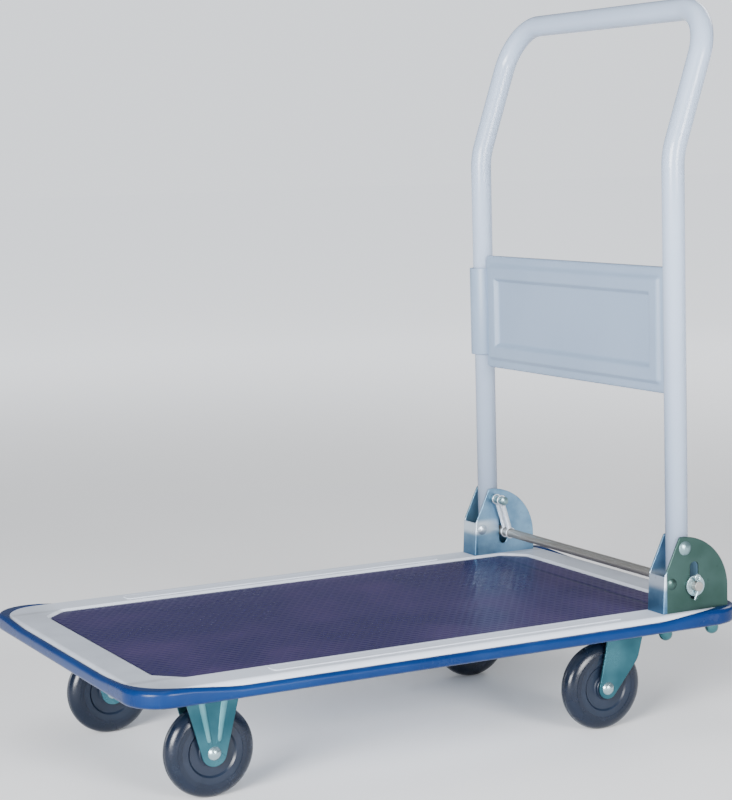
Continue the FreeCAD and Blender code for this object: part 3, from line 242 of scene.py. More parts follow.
CAMERA_PLACE = Vector((-1.08965, -2.15808, 0.66901))
CAMERA_HEADING, CAMERA_PITCH, CAMERA_ROLL = 0.472, -0.118, -0.027
LENS = 96.2
SENSOR_WIDTH = 36.0
ROOM_LIGHT, ROOM_SEEN = 0.3, 1.5
CART_MIDDLE = Vector((0, 0, 0.3))


def softbox(name, place, width, height, power):
    """A rectangular light that faces the cart's middle: its size in metres and its power in watts."""
    lamp = bpy.data.lights.new(name, "AREA")
    lamp.shape = "RECTANGLE"
    lamp.size, lamp.size_y = width, height
    lamp.energy = power
    light = bpy.data.objects.new(name, lamp)
    light.location = place
    light.rotation_euler = (CART_MIDDLE - Vector(place)).to_track_quat("-Z", "Y").to_euler()
    bpy.context.scene.collection.objects.link(light)


softbox("key_light", (-3.3, -2.3, 1.4), 1.8, 1.8, 420)
softbox("fill_light", (0.4, -4.0, 1.2), 1.4, 1.4, 200)
softbox("overhead_light", (-0.4, 0.2, 3.4), 2.4, 2.0, 22)
softbox("back_light", (3.4, 1.6, 2.4), 2.0, 1.4, 50)
world = bpy.data.worlds.new("room")
world.use_nodes = True
background = world.node_tree.nodes["Background"]
background.inputs["Color"].default_value = colour(*ROOM_PAINT)
room = Nodes(world.node_tree)
seen = room.add("ShaderNodeLightPath")
room.tree.links.new((seen * (ROOM_SEEN - ROOM_LIGHT) + ROOM_LIGHT).socket, background.inputs["Strength"])
bpy.context.scene.world = world

ahead = Vector(
    (
        sin(CAMERA_HEADING) * cos(CAMERA_PITCH),
        cos(CAMERA_HEADING) * cos(CAMERA_PITCH),
        sin(CAMERA_PITCH),
    )
)
level_right = ahead.cross(Vector((0, 0, 1))).normalized()
level_up = level_right.cross(ahead)
right = level_right * cos(CAMERA_ROLL) + level_up * sin(CAMERA_ROLL)
up = level_up * cos(CAMERA_ROLL) - level_right * sin(CAMERA_ROLL)
camera_data = bpy.data.cameras.new("camera")
camera_data.lens = LENS
camera_data.sensor_width = SENSOR_WIDTH
camera = bpy.data.objects.new("camera", camera_data)
camera.matrix_world = Matrix.Translation(CAMERA_PLACE) @ Matrix((right, up, -ahead)).transposed().to_4x4()
bpy.context.scene.collection.objects.link(camera)
bpy.context.scene.camera = camera

# ---------------------------------------------------------------- deck sheet and cross channels
# Pressed steel deck, sprayed pale grey after forming, with two channels welded across its underside.
# The paint has a faint orange peel. Painted shade darkens it across both ends, it is darker in a strip
# beside the mat, and the raised strips are left bright as if lit.

DECK_PAINT = (206, 214, 228)
# Grime colour, which is also the colour the painted shade on the deck darkens towards.
DECK_GRIME_AND_SHADE = (128, 132, 140)
CHANNEL_LIGHT, CHANNEL_DARK = (150, 162, 172), (112, 124, 132)
SHEET_EDGE = 0.0006
MERGE_DISTANCE, FLAT_ANGLE = 1e-6, 0.4
SMOOTH_ANGLE = 32
SHADED_END, SHADED_END_FADE = 0.03, 0.045
GUTTER_INNER, GUTTER_OUTER, GUTTER_FADE = 0.181, 0.194, 0.004


def merged(node):
    """A CAD node's mesh with its loose triangles joined and its flat areas made whole."""
    build = bmesh.new()
    build.from_mesh(frame["nodes"][node].data)
    bmesh.ops.remove_doubles(build, verts=build.verts, dist=MERGE_DISTANCE)
    bmesh.ops.dissolve_limit(build, angle_limit=radians(FLAT_ANGLE), verts=build.verts, edges=build.edges)
    mesh = bpy.data.meshes.new(node + "_finished")
    build.to_mesh(mesh)
    build.free()
    return mesh


def smooth(mesh, angle=SMOOTH_ANGLE):
    mesh.polygons.foreach_set("use_smooth", [True] * len(mesh.polygons))
    mesh.set_sharp_from_angle(angle=radians(angle))


def finished(node, material, edge=0.0):
    """Stand a refined copy in for a CAD node: edges rounded by a small radius, normals evened out."""
    mesh = merged(node)
    smooth(mesh)
    piece = place_object(node + "_finished", mesh, material)
    if edge:
        bevel = piece.modifiers.new("rounded edges", "BEVEL")
        bevel.width = edge
        bevel.segments = 3
        bevel.limit_method = "ANGLE"
        bevel.angle_limit = radians(SMOOTH_ANGLE)
        bevel.use_clamp_overlap = False
        piece.modifiers.new("even normals", "WEIGHTED_NORMAL").keep_sharp = True
    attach(piece, body_of(frame["nodes"][node])[0])
    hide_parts(node)
    return piece


def sprayed(name, paint, grime_and_shade, peel=0.00006, gloss=0.34, painted_shade=None):
    """Sprayed paint: slow changes of tone, scuffs drawn out along X, fine specks and orange peel."""
    finish = Finish(name, specular_ior_level=0.5)
    cloud = finish.noise(7, 4.0).between(0.35, 0.7)
    scuffs = finish.noise(9, 5.0, 0.65, finish.stretched(1, 14, 14)).between(0.62, 0.78)
    specks = finish.noise(420, 2.0).between(0.74, 0.8)
    worn = (scuffs * 0.45 + specks * 0.5).at_most(1.0)
    tone = finish.blend(cloud * 0.22, colour(*paint), colour(*(c - 16 for c in paint)))
    # Where given, a painted shade mask darkens the tone towards the grime colour.
    if painted_shade:
        tone = finish.blend(painted_shade(finish), tone, colour(*grime_and_shade))
    finish.link(base_color=finish.blend(worn * 0.35, tone, colour(*grime_and_shade)))
    finish.link(roughness=gloss + cloud * 0.08 + worn * 0.25)
    finish.relief((finish.noise(650, 1.0), peel), (worn, -0.00003))
    return finish.material


def shaded_ends(finish):
    """How much the deck's paint is darkened: a little everywhere, more across its two ends as painted shade
    and in a strip beside the mat, varied in patches, and not at all on the raised strips, which stay bright
    as lit faces.
    """
    low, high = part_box("deck_sheet")
    # Painted shade across the two ends.
    end = finish.along("X").size().between(high.x - SHADED_END - SHADED_END_FADE, high.x - SHADED_END)
    # The raised strips get no darkening, so they stay bright as lit faces.
    strip = finish.along("Z").between(high.z - 0.0005, high.z - 0.0002)
    patches = finish.noise(11, 4.0, 0.6).between(0.2, 0.8)
    across = finish.along("Y").size()
    gutter = across.between(GUTTER_INNER, GUTTER_INNER + GUTTER_FADE)
    gutter = gutter * (1 - across.between(GUTTER_OUTER - GUTTER_FADE, GUTTER_OUTER))
    return (end * 0.6 + 0.08 + gutter * 0.3) * (patches * 0.5 + 0.5) * (1 - strip)


deck_paint = sprayed("deck_paint", DECK_PAINT, DECK_GRIME_AND_SHADE, painted_shade=shaded_ends)
finished("deck_sheet", deck_paint, SHEET_EDGE)


def zinc(name, light, dark, shine=0.3, painted_light=None):
    """Passivated zinc plate: fine crystals, level rolling marks, a cloudy bloom and dark stains."""
    finish = Finish(name, metallic=0.85)
    bloom = finish.noise(18, 3.0, 0.5).between(0.25, 0.75)
    crystals = finish.add("ShaderNodeTexVoronoi", {}, {"Vector": finish.place, "Scale": 620.0})
    rolling = finish.noise(60, 3.0, 0.6, finish.stretched(1, 1, 16))
    tone = finish.blend(bloom, colour(*light), colour(*dark))
    # Where given, a function paints reflection and shade into the tone.
    if painted_light:
        tone = painted_light(finish, tone)
    stain = finish.noise(85, 5.0, 0.7).between(0.6, 0.76)
    finish.link(base_color=finish.blend(stain * 0.25, tone, colour(*(c * 0.6 for c in dark))))
    finish.link(roughness=shine + bloom * 0.12 + stain * 0.25 + rolling * 0.08)
    finish.relief((crystals, 0.00002), (rolling, 0.00003))
    return finish.material


channel_zinc = zinc("channel_zinc", CHANNEL_LIGHT, CHANNEL_DARK, 0.42)
for name in ("front_cross_channel", "rear_cross_channel"):
    finished(name, channel_zinc, SHEET_EDGE / 2)

# ---------------------------------------------------------------- mat
# Embossed vinyl mat glued in the sunk floor of the deck, with rows of low six-sided pads.
# It is calendered with a gloss, so its colour is washed out where it mirrors the room. A dark line
# runs across it near the handle. It is a painted reflection of the release bar, also pressed in as a shallow
# groove.

MAT_VINYL = (34, 30, 74)
MAT_WORN = (66, 54, 92)
VINYL_DUST = (150, 150, 164)
# Painted reflection of the release bar: the tone, place and width of a dark line across the mat near the
# handle.
BAR_REFLECTION_TONE, REFLECTION_CREASE_INSET = (14, 18, 62), 0.034
REFLECTION_CREASE_HALF_WIDTH, REFLECTION_CREASE_FADE = 0.0022, 0.0024
PAD_PITCH, PAD_ROW = 0.0098, 0.0072
PAD_RADIUS, PAD_HEIGHT, PAD_SINK = 0.0046, 0.0003, 0.00002
PAD_STRETCH, PAD_TOP_SHARE = (1.15, 0.82, 1.0), 0.62
PAD_MARGIN = 0.007
MAT_CHAMFER = 0.023


class Recipe(Nodes):
    """A Geometry Nodes tree with a named input for each size."""

    def __init__(self, name, source=False):
        super().__init__(bpy.data.node_groups.new(name, "GeometryNodeTree"))
        self.sizes = {}
        if source:
            self.tree.interface.new_socket("Source", in_out="INPUT", socket_type="NodeSocketGeometry")
        self.entry = self.tree.nodes.new("NodeGroupInput")

    def source(self):
        return Signal(self, self.entry.outputs["Source"])

    def size_of(self, name, value):
        kind = "NodeSocketInt" if isinstance(value, int) else "NodeSocketFloat"
        socket = self.tree.interface.new_socket(name, in_out="INPUT", socket_type=kind)
        self.sizes[socket.identifier] = value
        return Signal(self, self.entry.outputs[name])

    def vector(self, x=0.0, y=0.0, z=0.0):
        return self.add("ShaderNodeCombineXYZ", {}, {"X": x, "Y": y, "Z": z})

    def parts(self, vector):
        return [self.add("ShaderNodeSeparateXYZ", {}, {"Vector": vector}, i) for i in range(3)]

    def join(self, *pieces):
        node = self.tree.nodes.new("GeometryNodeJoinGeometry")
        for piece in pieces:
            self.tree.links.new(piece.socket, node.inputs[0])
        return Signal(self, node.outputs[0])

    def build(self, name, result, material, source=None, angle=SMOOTH_ANGLE):
        """End the tree, run it once and keep the plain mesh that it makes."""
        whole = self.add("GeometryNodeRealizeInstances", {}, {0: result})
        whole = self.add("GeometryNodeSetMaterial", {}, {"Geometry": whole, "Material": material})
        self.tree.interface.new_socket("Result", in_out="OUTPUT", socket_type="NodeSocketGeometry")
        exit_node = self.tree.nodes.new("NodeGroupOutput")
        self.tree.links.new(whole.socket, exit_node.inputs[0])
        maker = place_object(name + "_maker", source or bpy.data.meshes.new(name))
        modifier = maker.modifiers.new("recipe", "NODES")
        modifier.node_group = self.tree
        for identifier, value in self.sizes.items():
            modifier[identifier] = value
        made = maker.evaluated_get(bpy.context.evaluated_depsgraph_get())
        mesh = bpy.data.meshes.new_from_object(made)
        bpy.data.objects.remove(maker)
        smooth(mesh, angle)
        return place_object(name, mesh)


def vinyl(name, deep, worn, gloss, sheen=0.5, grain=0.00003, reflection_crease=None):
    """Glossy plasticised vinyl: scuffed in patches, with soft scratches and a little dust.

    A last argument, where given, is the place along X of a dark line across the sheet. It is a painted
    reflection, also pressed in as a shallow groove."""
    finish = Finish(name, specular_ior_level=sheen)
    patches = finish.noise(6, 5.0, 0.6).between(0.38, 0.72)
    scratches = finish.noise(30, 4.0, 0.6, finish.stretched(1, 22, 1)).between(0.55, 0.98)
    dust = finish.noise(240, 4.0, 0.7).between(0.6, 0.9)
    tone = finish.blend(patches * 0.7, colour(*deep), colour(*worn))
    layers = [(finish.noise(900, 2.0), grain)]
    if reflection_crease:
        away = (finish.along("X") - reflection_crease).size()
        line = 1 - away.between(REFLECTION_CREASE_HALF_WIDTH, REFLECTION_CREASE_HALF_WIDTH + REFLECTION_CREASE_FADE)
        # Painted reflection: the line is darkened towards a deep navy.
        tone = finish.blend(line * 0.85, tone, colour(*BAR_REFLECTION_TONE))
        layers.append((line, -0.0004))
    dulled = scratches * 0.1 + dust * 0.08
    finish.link(base_color=finish.blend(dulled, tone, colour(*VINYL_DUST)))
    finish.link(roughness=gloss + patches * 0.1 + scratches * 0.1 + dust * 0.06)
    finish.relief(*layers)
    return finish.material


mat_low, mat_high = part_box("deck_mat")
mat_vinyl = vinyl("mat_vinyl", MAT_VINYL, MAT_WORN, 0.27, 0.15, reflection_crease=mat_high.x - REFLECTION_CREASE_INSET)
finished("deck_mat", mat_vinyl, 0.0004)
mat_length, mat_width = mat_high.x - mat_low.x, mat_high.y - mat_low.y

pads = Recipe("embossed_pads")
length = pads.size_of("Length", mat_length - 2 * PAD_MARGIN)
width = pads.size_of("Width", mat_width - 2 * PAD_MARGIN)
pitch = pads.size_of("Pitch", PAD_PITCH)
corner = pads.size_of("Corner cut", MAT_CHAMFER + PAD_MARGIN / 2)
columns = int((mat_length - 2 * PAD_MARGIN) / PAD_PITCH)
rows = int((mat_width - 2 * PAD_MARGIN) / PAD_ROW)
grid = pads.add(
    "GeometryNodeMeshGrid",
    {},
    {"Size X": length, "Size Y": width, "Vertices X": columns, "Vertices Y": rows},
)
index = pads.add("GeometryNodeInputIndex")
odd = index.maths("MODULO", float(rows)).maths("FLOORED_MODULO", 2.0)
shifted = pads.add(
    "GeometryNodeSetPosition", {}, {"Geometry": grid, "Offset": pads.vector((odd - 0.5) * pitch * 0.5)}
)
x, y = pads.parts(pads.add("GeometryNodeInputPosition"))[:2]
beyond = (x.size() + y.size()).maths("GREATER_THAN", (length + width) * 0.5 - corner)
kept = pads.add("GeometryNodeDeleteGeometry", {}, {"Geometry": shifted, "Selection": beyond})
pad = pads.add(
    "GeometryNodeMeshCone",
    {},
    {
        "Vertices": 6,
        "Side Segments": 1,
        "Radius Top": PAD_RADIUS * PAD_TOP_SHARE,
        "Radius Bottom": PAD_RADIUS,
        "Depth": PAD_HEIGHT,
    },
)
studs = pads.add(
    "GeometryNodeInstanceOnPoints",
    {},
    {"Points": kept, "Instance": pad, "Scale": PAD_STRETCH},
)
on_mat = (0, 0, mat_high.z - PAD_SINK)
raised = pads.add("GeometryNodeTransform", {}, {0: studs, "Translation": on_mat})
mat_pads = pads.build("deck_mat_pads", raised, mat_vinyl, angle=80)
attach(mat_pads, "platform")

# ---------------------------------------------------------------- bumper
# Vinyl strip, pushed over the deck's skirt all the way round. It is rounded outside, with a lip below
# that hooks under the steel. At the four corners it is taller and reaches further over the deck.

BUMPER_BLUE = (0, 34, 82)
BUMPER_SCUFF = (2, 48, 102)
BUMPER_THICKNESS = 0.007
BUMPER_ROUNDING = 0.0052
BUMPER_CORNER = 0.043
BUMPER_SIDE_HEIGHT, BUMPER_END_HEIGHT, BUMPER_CORNER_HEIGHT = 0.0126, 0.0155, 0.0186
LIP_CORNER = 0.060
BUMPER_FADE, BUMPER_FADE_STEPS = 0.08, 16
BUMPER_LIP = 0.005
BUMPER_LIP_SHEET = 0.003
TOP_EDGE_ACROSS, TOP_EDGE_DOWN = 0.0012, 0.0008
CORNER_STEPS = 20
DOUBLE_DISTANCE = 1e-7


def arc_points(centre, radius, start, turn, steps):
    """Points of an arc from a start angle through a turn, both in degrees."""
    angles = [radians(start + turn * i / steps) for i in range(steps + 1)]
    return [(centre[0] + radius * cos(a), centre[1] + radius * sin(a)) for a in angles]


def skinned(name, rings):
    """A closed mesh through rings of points, each joined to the next and the last to the first."""
    build = bmesh.new()
    rings = [[build.verts.new(point) for point in ring] for ring in rings]
    count = len(rings[0])
    for ring, after in zip(rings, rings[1:] + rings[:1]):
        for i in range(count):
            build.faces.new((ring[i], after[i], after[(i + 1) % count], ring[(i + 1) % count]))
    bmesh.ops.remove_doubles(build, verts=build.verts, dist=DOUBLE_DISTANCE)
    bmesh.ops.recalc_face_normals(build, faces=build.faces)
    mesh = bpy.data.meshes.new(name)
    build.to_mesh(mesh)
    build.free()
    return mesh


bumper_low, bumper_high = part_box("bumper_strip")
bumper_length, bumper_width = bumper_high.x - bumper_low.x, bumper_high.y - bumper_low.y


def bumper_section(height, depth):
    """The strip's section as (outwards, upwards): its depth is how far it reaches over the steel."""
    bulge = min(BUMPER_ROUNDING, height / 2)
    return (
        arc_points((-bulge, bulge), bulge, -90, 90, 10)
        + arc_points((-bulge, height - bulge), bulge, 0, 90, 10)
        + [(-depth + TOP_EDGE_ACROSS, height), (-depth, height - TOP_EDGE_DOWN)]
        + [(-depth, BUMPER_LIP_SHEET), (-BUMPER_THICKNESS - BUMPER_LIP, BUMPER_LIP_SHEET)]
        + [(-BUMPER_THICKNESS - BUMPER_LIP, 0)]
    )


def lip_depth(point, outward):
    """How far in the strip reaches from a point on its outline, to end on the lip's own round corner."""
    inset = BUMPER_THICKNESS + LIP_CORNER
    corner = Vector((bumper_length / 2 - inset, bumper_width / 2 - inset))
    offset = Vector((abs(point.x), abs(point.y))) - corner
    way = Vector((abs(outward.x), abs(outward.y)))
    if min(offset) < 0:
        return BUMPER_THICKNESS
    past = offset.dot(way)
    return past - (past * past - offset.length_squared + LIP_CORNER**2) ** 0.5


def bumper_path():
    """Points of the strip's outline, with the way out, the strip's height and its depth at each."""
    path = []
    steps = BUMPER_FADE_STEPS
    half_length, half_width = bumper_length / 2 - BUMPER_CORNER, bumper_width / 2 - BUMPER_CORNER
    for sx, sy, start in ((1, -1, -90), (1, 1, 0), (-1, 1, 90), (-1, -1, 180)):
        centre = Vector((sx * half_length, sy * half_width, 0))
        for i in range(-steps, CORNER_STEPS + 1 + steps):
            angle = radians(start + 90 * min(max(i / CORNER_STEPS, 0), 1))
            outward = Vector((cos(angle), sin(angle), 0))
            run = min(i, 0) + max(i - CORNER_STEPS, 0)
            along = outward.cross(Vector((0, 0, -1))) * run * BUMPER_FADE / steps
            point = centre + along + outward * BUMPER_CORNER
            into = 1 - abs(run) / steps
            into = into * into * (3 - 2 * into)
            plain = BUMPER_SIDE_HEIGHT if abs(outward.y) > 0.7 else BUMPER_END_HEIGHT
            rise = plain + (BUMPER_CORNER_HEIGHT - plain) * into
            path.append((point, outward, rise, lip_depth(point, outward)))
    return path


rings = []
for point, outward, rise, depth in bumper_path():
    base = point + Vector((0, 0, bumper_low.z))
    rings.append([base + outward * out + Vector((0, 0, up)) for out, up in bumper_section(rise, depth)])
bumper_mesh = skinned("bumper_strip_finished", rings)
smooth(bumper_mesh)
bumper_vinyl = vinyl("bumper_vinyl", BUMPER_BLUE, BUMPER_SCUFF, 0.26, 0.22, 0.00002)
bumper = place_object("bumper_strip_finished", bumper_mesh, bumper_vinyl)
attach(bumper, "platform")
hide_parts("bumper_strip")

# ---------------------------------------------------------------- wheels
# Moulded wheels: a hard dark tyre with a parting line, on a hub with a raised ring and a sunk disc.
# Each hub runs on a plastic bush. All four are alike.

TYRE_TONE = (10, 20, 36)
TYRE_DUST = (70, 82, 98)
HUB_TONE = (16, 26, 42)
BUSH_TONE = (36, 38, 42)


def lathe(name, profile, centre, material, steps=96, angle=SMOOTH_ANGLE):
    """Turn a profile, given as (along Y, radius), round an axle through a centre."""
    rings = []
    for i in range(steps):
        turn = 2 * pi * i / steps
        rings.append([centre + Vector((r * cos(turn), a, r * sin(turn))) for a, r in profile])
    mesh = skinned(name, rings)
    smooth(mesh, angle)
    return place_object(name, mesh, material)


def moulded(name, tone, dust, gloss):
    """Hard moulded plastic: faint flow marks, floor dust and smears drawn out round the wheel."""
    finish = Finish(name, specular_ior_level=0.42)
    flow = finish.noise(34, 4.0, 0.55).between(0.3, 0.75)
    grit = finish.noise(300, 5.0, 0.72).between(0.6, 0.8)
    smear = finish.noise(22, 5.0, 0.6, finish.stretched(1, 4, 1)).between(0.58, 0.8)
    tone_mix = finish.blend(flow * 0.4, colour(*tone), colour(*(c * 1.25 for c in tone)))
    finish.link(base_color=finish.blend(grit * 0.16 + smear * 0.14, tone_mix, colour(*dust)))
    finish.link(roughness=gloss + flow * 0.1 + grit * 0.25)
    finish.relief((finish.noise(700, 2.0), 0.00003), (grit, 0.00004))
    return finish.material


tyre_rubber = moulded("tyre_rubber", TYRE_TONE, TYRE_DUST, 0.22)
hub_moulding = moulded("hub_moulding", HUB_TONE, TYRE_DUST, 0.3)
bush_plastic = moulded("bush_plastic", BUSH_TONE, TYRE_DUST, 0.45)

SHOULDER_ACROSS, SHOULDER_DOWN = 0.0105, 0.0155
PARTING_HEIGHT, PARTING_WIDTH = 0.0003, 0.0005
RIM_GROOVE = 0.0003
STEP = 0.0005
HUB_BORE, BOSS_RADIUS, BOSS_FOOT = 0.00805, 0.0125, 0.0148
DISC_RADIUS, DISC_DEPTH = 0.0252, 0.0018
RING_STEP, RIM_BEVEL = 0.0007, 0.0012


def mirrored(half_profile):
    """A profile and its mirror image, from one side of the wheel to the other."""
    return half_profile + [(-a, r) for a, r in reversed(half_profile)]


def make_wheel(corner):
    low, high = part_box(f"{corner}_tyre")
    centre = (low + high) / 2
    radius, half_width = (high.z - low.z) / 2, (high.y - low.y) / 2
    hub_low, hub_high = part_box(f"{corner}_hub")
    rim = (hub_high.z - hub_low.z) / 2
    tread = radius - PARTING_HEIGHT
    arc = arc_points((0, 0), 1, 0, 90, 20)
    rounding = [
        (half_width - SHOULDER_ACROSS * (1 - a), tread - SHOULDER_DOWN * (1 - b)) for a, b in arc
    ]
    half_profile = (
        [(half_width - 2 * RIM_GROOVE, rim), (half_width - 2 * RIM_GROOVE, rim + RIM_GROOVE)]
        + [(half_width - RIM_GROOVE / 2, rim + 2 * RIM_GROOVE), (half_width, rim + 3 * RIM_GROOVE)]
        + rounding
        + [(PARTING_WIDTH, tread), (PARTING_WIDTH / 2, radius)]
    )
    tyre = lathe(f"{corner}_tyre_moulded", mirrored(half_profile), centre, tyre_rubber, 128)
    boss = (hub_high.y - hub_low.y) / 2
    face = half_width - STEP
    disc = face - DISC_DEPTH
    half_hub = (
        [(boss, HUB_BORE), (boss, BOSS_RADIUS), (boss - STEP, BOSS_RADIUS + STEP)]
        + [(disc + 2 * STEP, BOSS_RADIUS + 2 * STEP), (disc, BOSS_FOOT), (disc, DISC_RADIUS)]
        + [(disc + STEP, DISC_RADIUS + RING_STEP), (face - STEP, DISC_RADIUS + 2 * RING_STEP)]
        + [(face, DISC_RADIUS + 3 * RING_STEP)]
        + [(face, rim - RIM_BEVEL), (face - STEP, rim - STEP), (face - 2 * STEP, rim)]
    )
    hub = lathe(f"{corner}_hub_moulded", mirrored(half_hub), centre, hub_moulding, 96)
    for piece, node, slot in ((tyre, "tyre", "tyre_rubber"), (hub, "hub", "hub_moulding")):
        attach(piece, f"{corner}_wheel")
        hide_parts(f"{corner}_{node}")
    finished(f"{corner}_bush", bush_plastic, 0.0002)


for corner in ("front_left", "front_right", "rear_left", "rear_right"):
    make_wheel(corner)

# ---------------------------------------------------------------- casters
# Pressed forks in blue-green passivated zinc: two fixed at the front, and two at the back that
# turn on a ring of balls. Each wheel's axle is a rivet with a domed head at both ends.

FORK_LIGHT, FORK_DARK = (68, 116, 128), (30, 72, 84)
# Painted highlight: the ribs get a much lighter copy of the fork's zinc, for the light on their rounded
# tops.
RIB_HIGHLIGHT_LIGHT, RIB_HIGHLIGHT_DARK = (116, 170, 178), (74, 130, 140)
RIVET_LIGHT, RIVET_DARK = (176, 200, 206), (132, 158, 166)
BOLT_LIGHT, BOLT_DARK = (182, 196, 200), (140, 154, 158)

fork_zinc = zinc("fork_zinc", FORK_LIGHT, FORK_DARK, 0.22)
rib_zinc = zinc("rib_zinc", RIB_HIGHLIGHT_LIGHT, RIB_HIGHLIGHT_DARK, 0.26)
rivet_steel = zinc("rivet_steel", RIVET_LIGHT, RIVET_DARK, 0.16)
bolt_zinc = zinc("bolt_zinc", BOLT_LIGHT, BOLT_DARK, 0.28)
AXLE_HEAD = (0.004, 0.0075)
SHANK_RADIUS = 0.005
RIB_TOP, RIB_FOOT = (0.0150, -0.0090), (0.0050, 0.0)
RIB_RADIUS, RIB_TAPER, RIB_FLATTENING = 0.0046, 0.5, 0.5
RIB_FOOT_RISE = 0.0105
RIB_END_SHARE = 1 / 14
LEG_FACE = 0.0175


def domed_end(height, radius, steps=8):
    """A shallow dome from its pole out to its rim, as (distance from the pole, radius)."""
    sphere = (radius**2 + height**2) / (2 * height)
    widest = pi / 2 if height >= radius else atan2(radius, sphere - height)
    turns = [widest * i / steps for i in range(steps + 1)]
    return [(sphere * (1 - cos(t)), sphere * sin(t)) for t in turns]


def turned_pin(node, material, low_head, high_head):
    """A rivet or pin along Y with a domed head at each end, each as (height, radius)."""
    low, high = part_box(node)
    half = (high.y - low.y) / 2
    left = [(-half + a, r) for a, r in domed_end(*low_head)]
    right = [(half - a, r) for a, r in domed_end(*high_head)]
    shank = [(-half + low_head[0], SHANK_RADIUS), (half - high_head[0], SHANK_RADIUS)]
    pin = lathe(f"{node}_turned", left + shank + right[::-1], (low + high) / 2, material, 48, 40)
    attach(pin, body_of(frame["nodes"][node])[0])
    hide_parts(node)


def add_ribs(fork):
    """Two rounded ribs on each leg, which converge from the plate down to the axle."""
    low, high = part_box(fork)
    centre = (low + high) / 2
    tyre_low, tyre_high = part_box(fork.replace("fork", "tyre"))
    axle = (tyre_low.z + tyre_high.z) / 2
    ribs = Recipe(f"{fork}_ribs")
    radius = ribs.size_of("Rib radius", RIB_RADIUS)
    taper = ribs.size_of("Taper", RIB_TAPER)
    along = ribs.add("GeometryNodeSplineParameter")
    ends = (along / RIB_END_SHARE).at_most(1.0) * ((1 - along) / RIB_END_SHARE).at_most(1.0)
    thickness = (1 - along * taper) * ends.maths("SQRT")
    strands = []
    for side in (-1, 1):
        start = (side * RIB_TOP[0], 0, high.z + RIB_TOP[1])
        end = (side * RIB_FOOT[0], 0, axle + RIB_FOOT_RISE)
        line = ribs.add("GeometryNodeCurvePrimitiveLine", {}, {"Start": start, "End": end})
        strands.append(ribs.add("GeometryNodeResampleCurve", {}, {"Curve": line, "Count": 40}))
    profile = ribs.add("GeometryNodeCurvePrimitiveCircle", {}, {"Resolution": 20, "Radius": radius})
    values = {"Curve": ribs.join(*strands), "Profile Curve": profile, "Scale": thickness}
    solid = ribs.add("GeometryNodeCurveToMesh", {}, {**values, "Fill Caps": True})
    squashed = ribs.add("GeometryNodeTransform", {}, {0: solid, "Scale": (1, RIB_FLATTENING, 1)})
    legs = []
    for side in (-1, 1):
        face = (centre.x, centre.y + side * LEG_FACE, 0)
        legs.append(ribs.add("GeometryNodeTransform", {}, {0: squashed, "Translation": face}))
    piece = ribs.build(f"{fork}_ribs", ribs.join(*legs), rib_zinc, angle=60)
    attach(piece, "platform")


for side in ("left", "right"):
    finished(f"front_{side}_fork", fork_zinc, 0.0005)
    finished(f"rear_{side}_fork", fork_zinc, 0.0005)
    finished(f"rear_{side}_top_plate", fork_zinc, 0.0004)
    finished(f"rear_{side}_kingpin", bolt_zinc, 0.0003)
    finished(f"rear_{side}_balls", rivet_steel)
    finished(f"rear_{side}_ball_cage", bolt_zinc)
    for end in ("front", "rear"):
        turned_pin(f"{end}_{side}_axle", rivet_steel, AXLE_HEAD, AXLE_HEAD)
    add_ribs(f"front_{side}_fork")
for end in ("front", "rear"):
    finished(f"{end}_caster_bolts", bolt_zinc, 0.0004)
    finished(f"{end}_caster_nuts", bolt_zinc, 0.0004)

# ---------------------------------------------------------------- hinge brackets
# Folded zinc brackets that hold the handle's feet, each bolted through the deck with two bolts into
# cap nuts below. The one on the left is painted darker and greener than the one on the right, as painted
# shade.

PIVOT_HEAD, PIVOT_COLLAR, SPRING_COLLAR = (0.003, 0.008), (0.002, 0.007), (0.0015, 0.0056)
STOP_HEAD = (0.002, 0.0065)
WEB_DEPTH = 0.0042
PIN_LIGHT, PIN_DARK = (150, 178, 184), (104, 136, 142)
# Painted shade: the left bracket's zinc is darker and greener than the right one's.
LEFT_SHADED_LIGHT, LEFT_SHADED_DARK = (66, 92, 88), (42, 68, 62)
RIGHT_LIGHT, RIGHT_DARK = (122, 158, 180), (86, 124, 146)
NUT_LIGHT, NUT_DARK = (78, 126, 132), (44, 88, 96)
BRACKET_REFLECTED_BLUE, BRACKET_REFLECTED_DEEP, BRACKET_GLEAM = (122, 160, 188), (66, 104, 136), (232, 244, 254)
GLEAM_LOW, GLEAM_HIGH = 0.166, 0.190
GLEAM_RISE, GLEAM_FALL = 0.009, 0.008
GLEAM_NEAR, GLEAM_FAR = 0.006, 0.05
INNER_PLATE, PLATE_FADE = 0.1975, 0.0025
FOOT_SHADE_LOW, FOOT_SHADE_HIGH = 0.144, 0.17


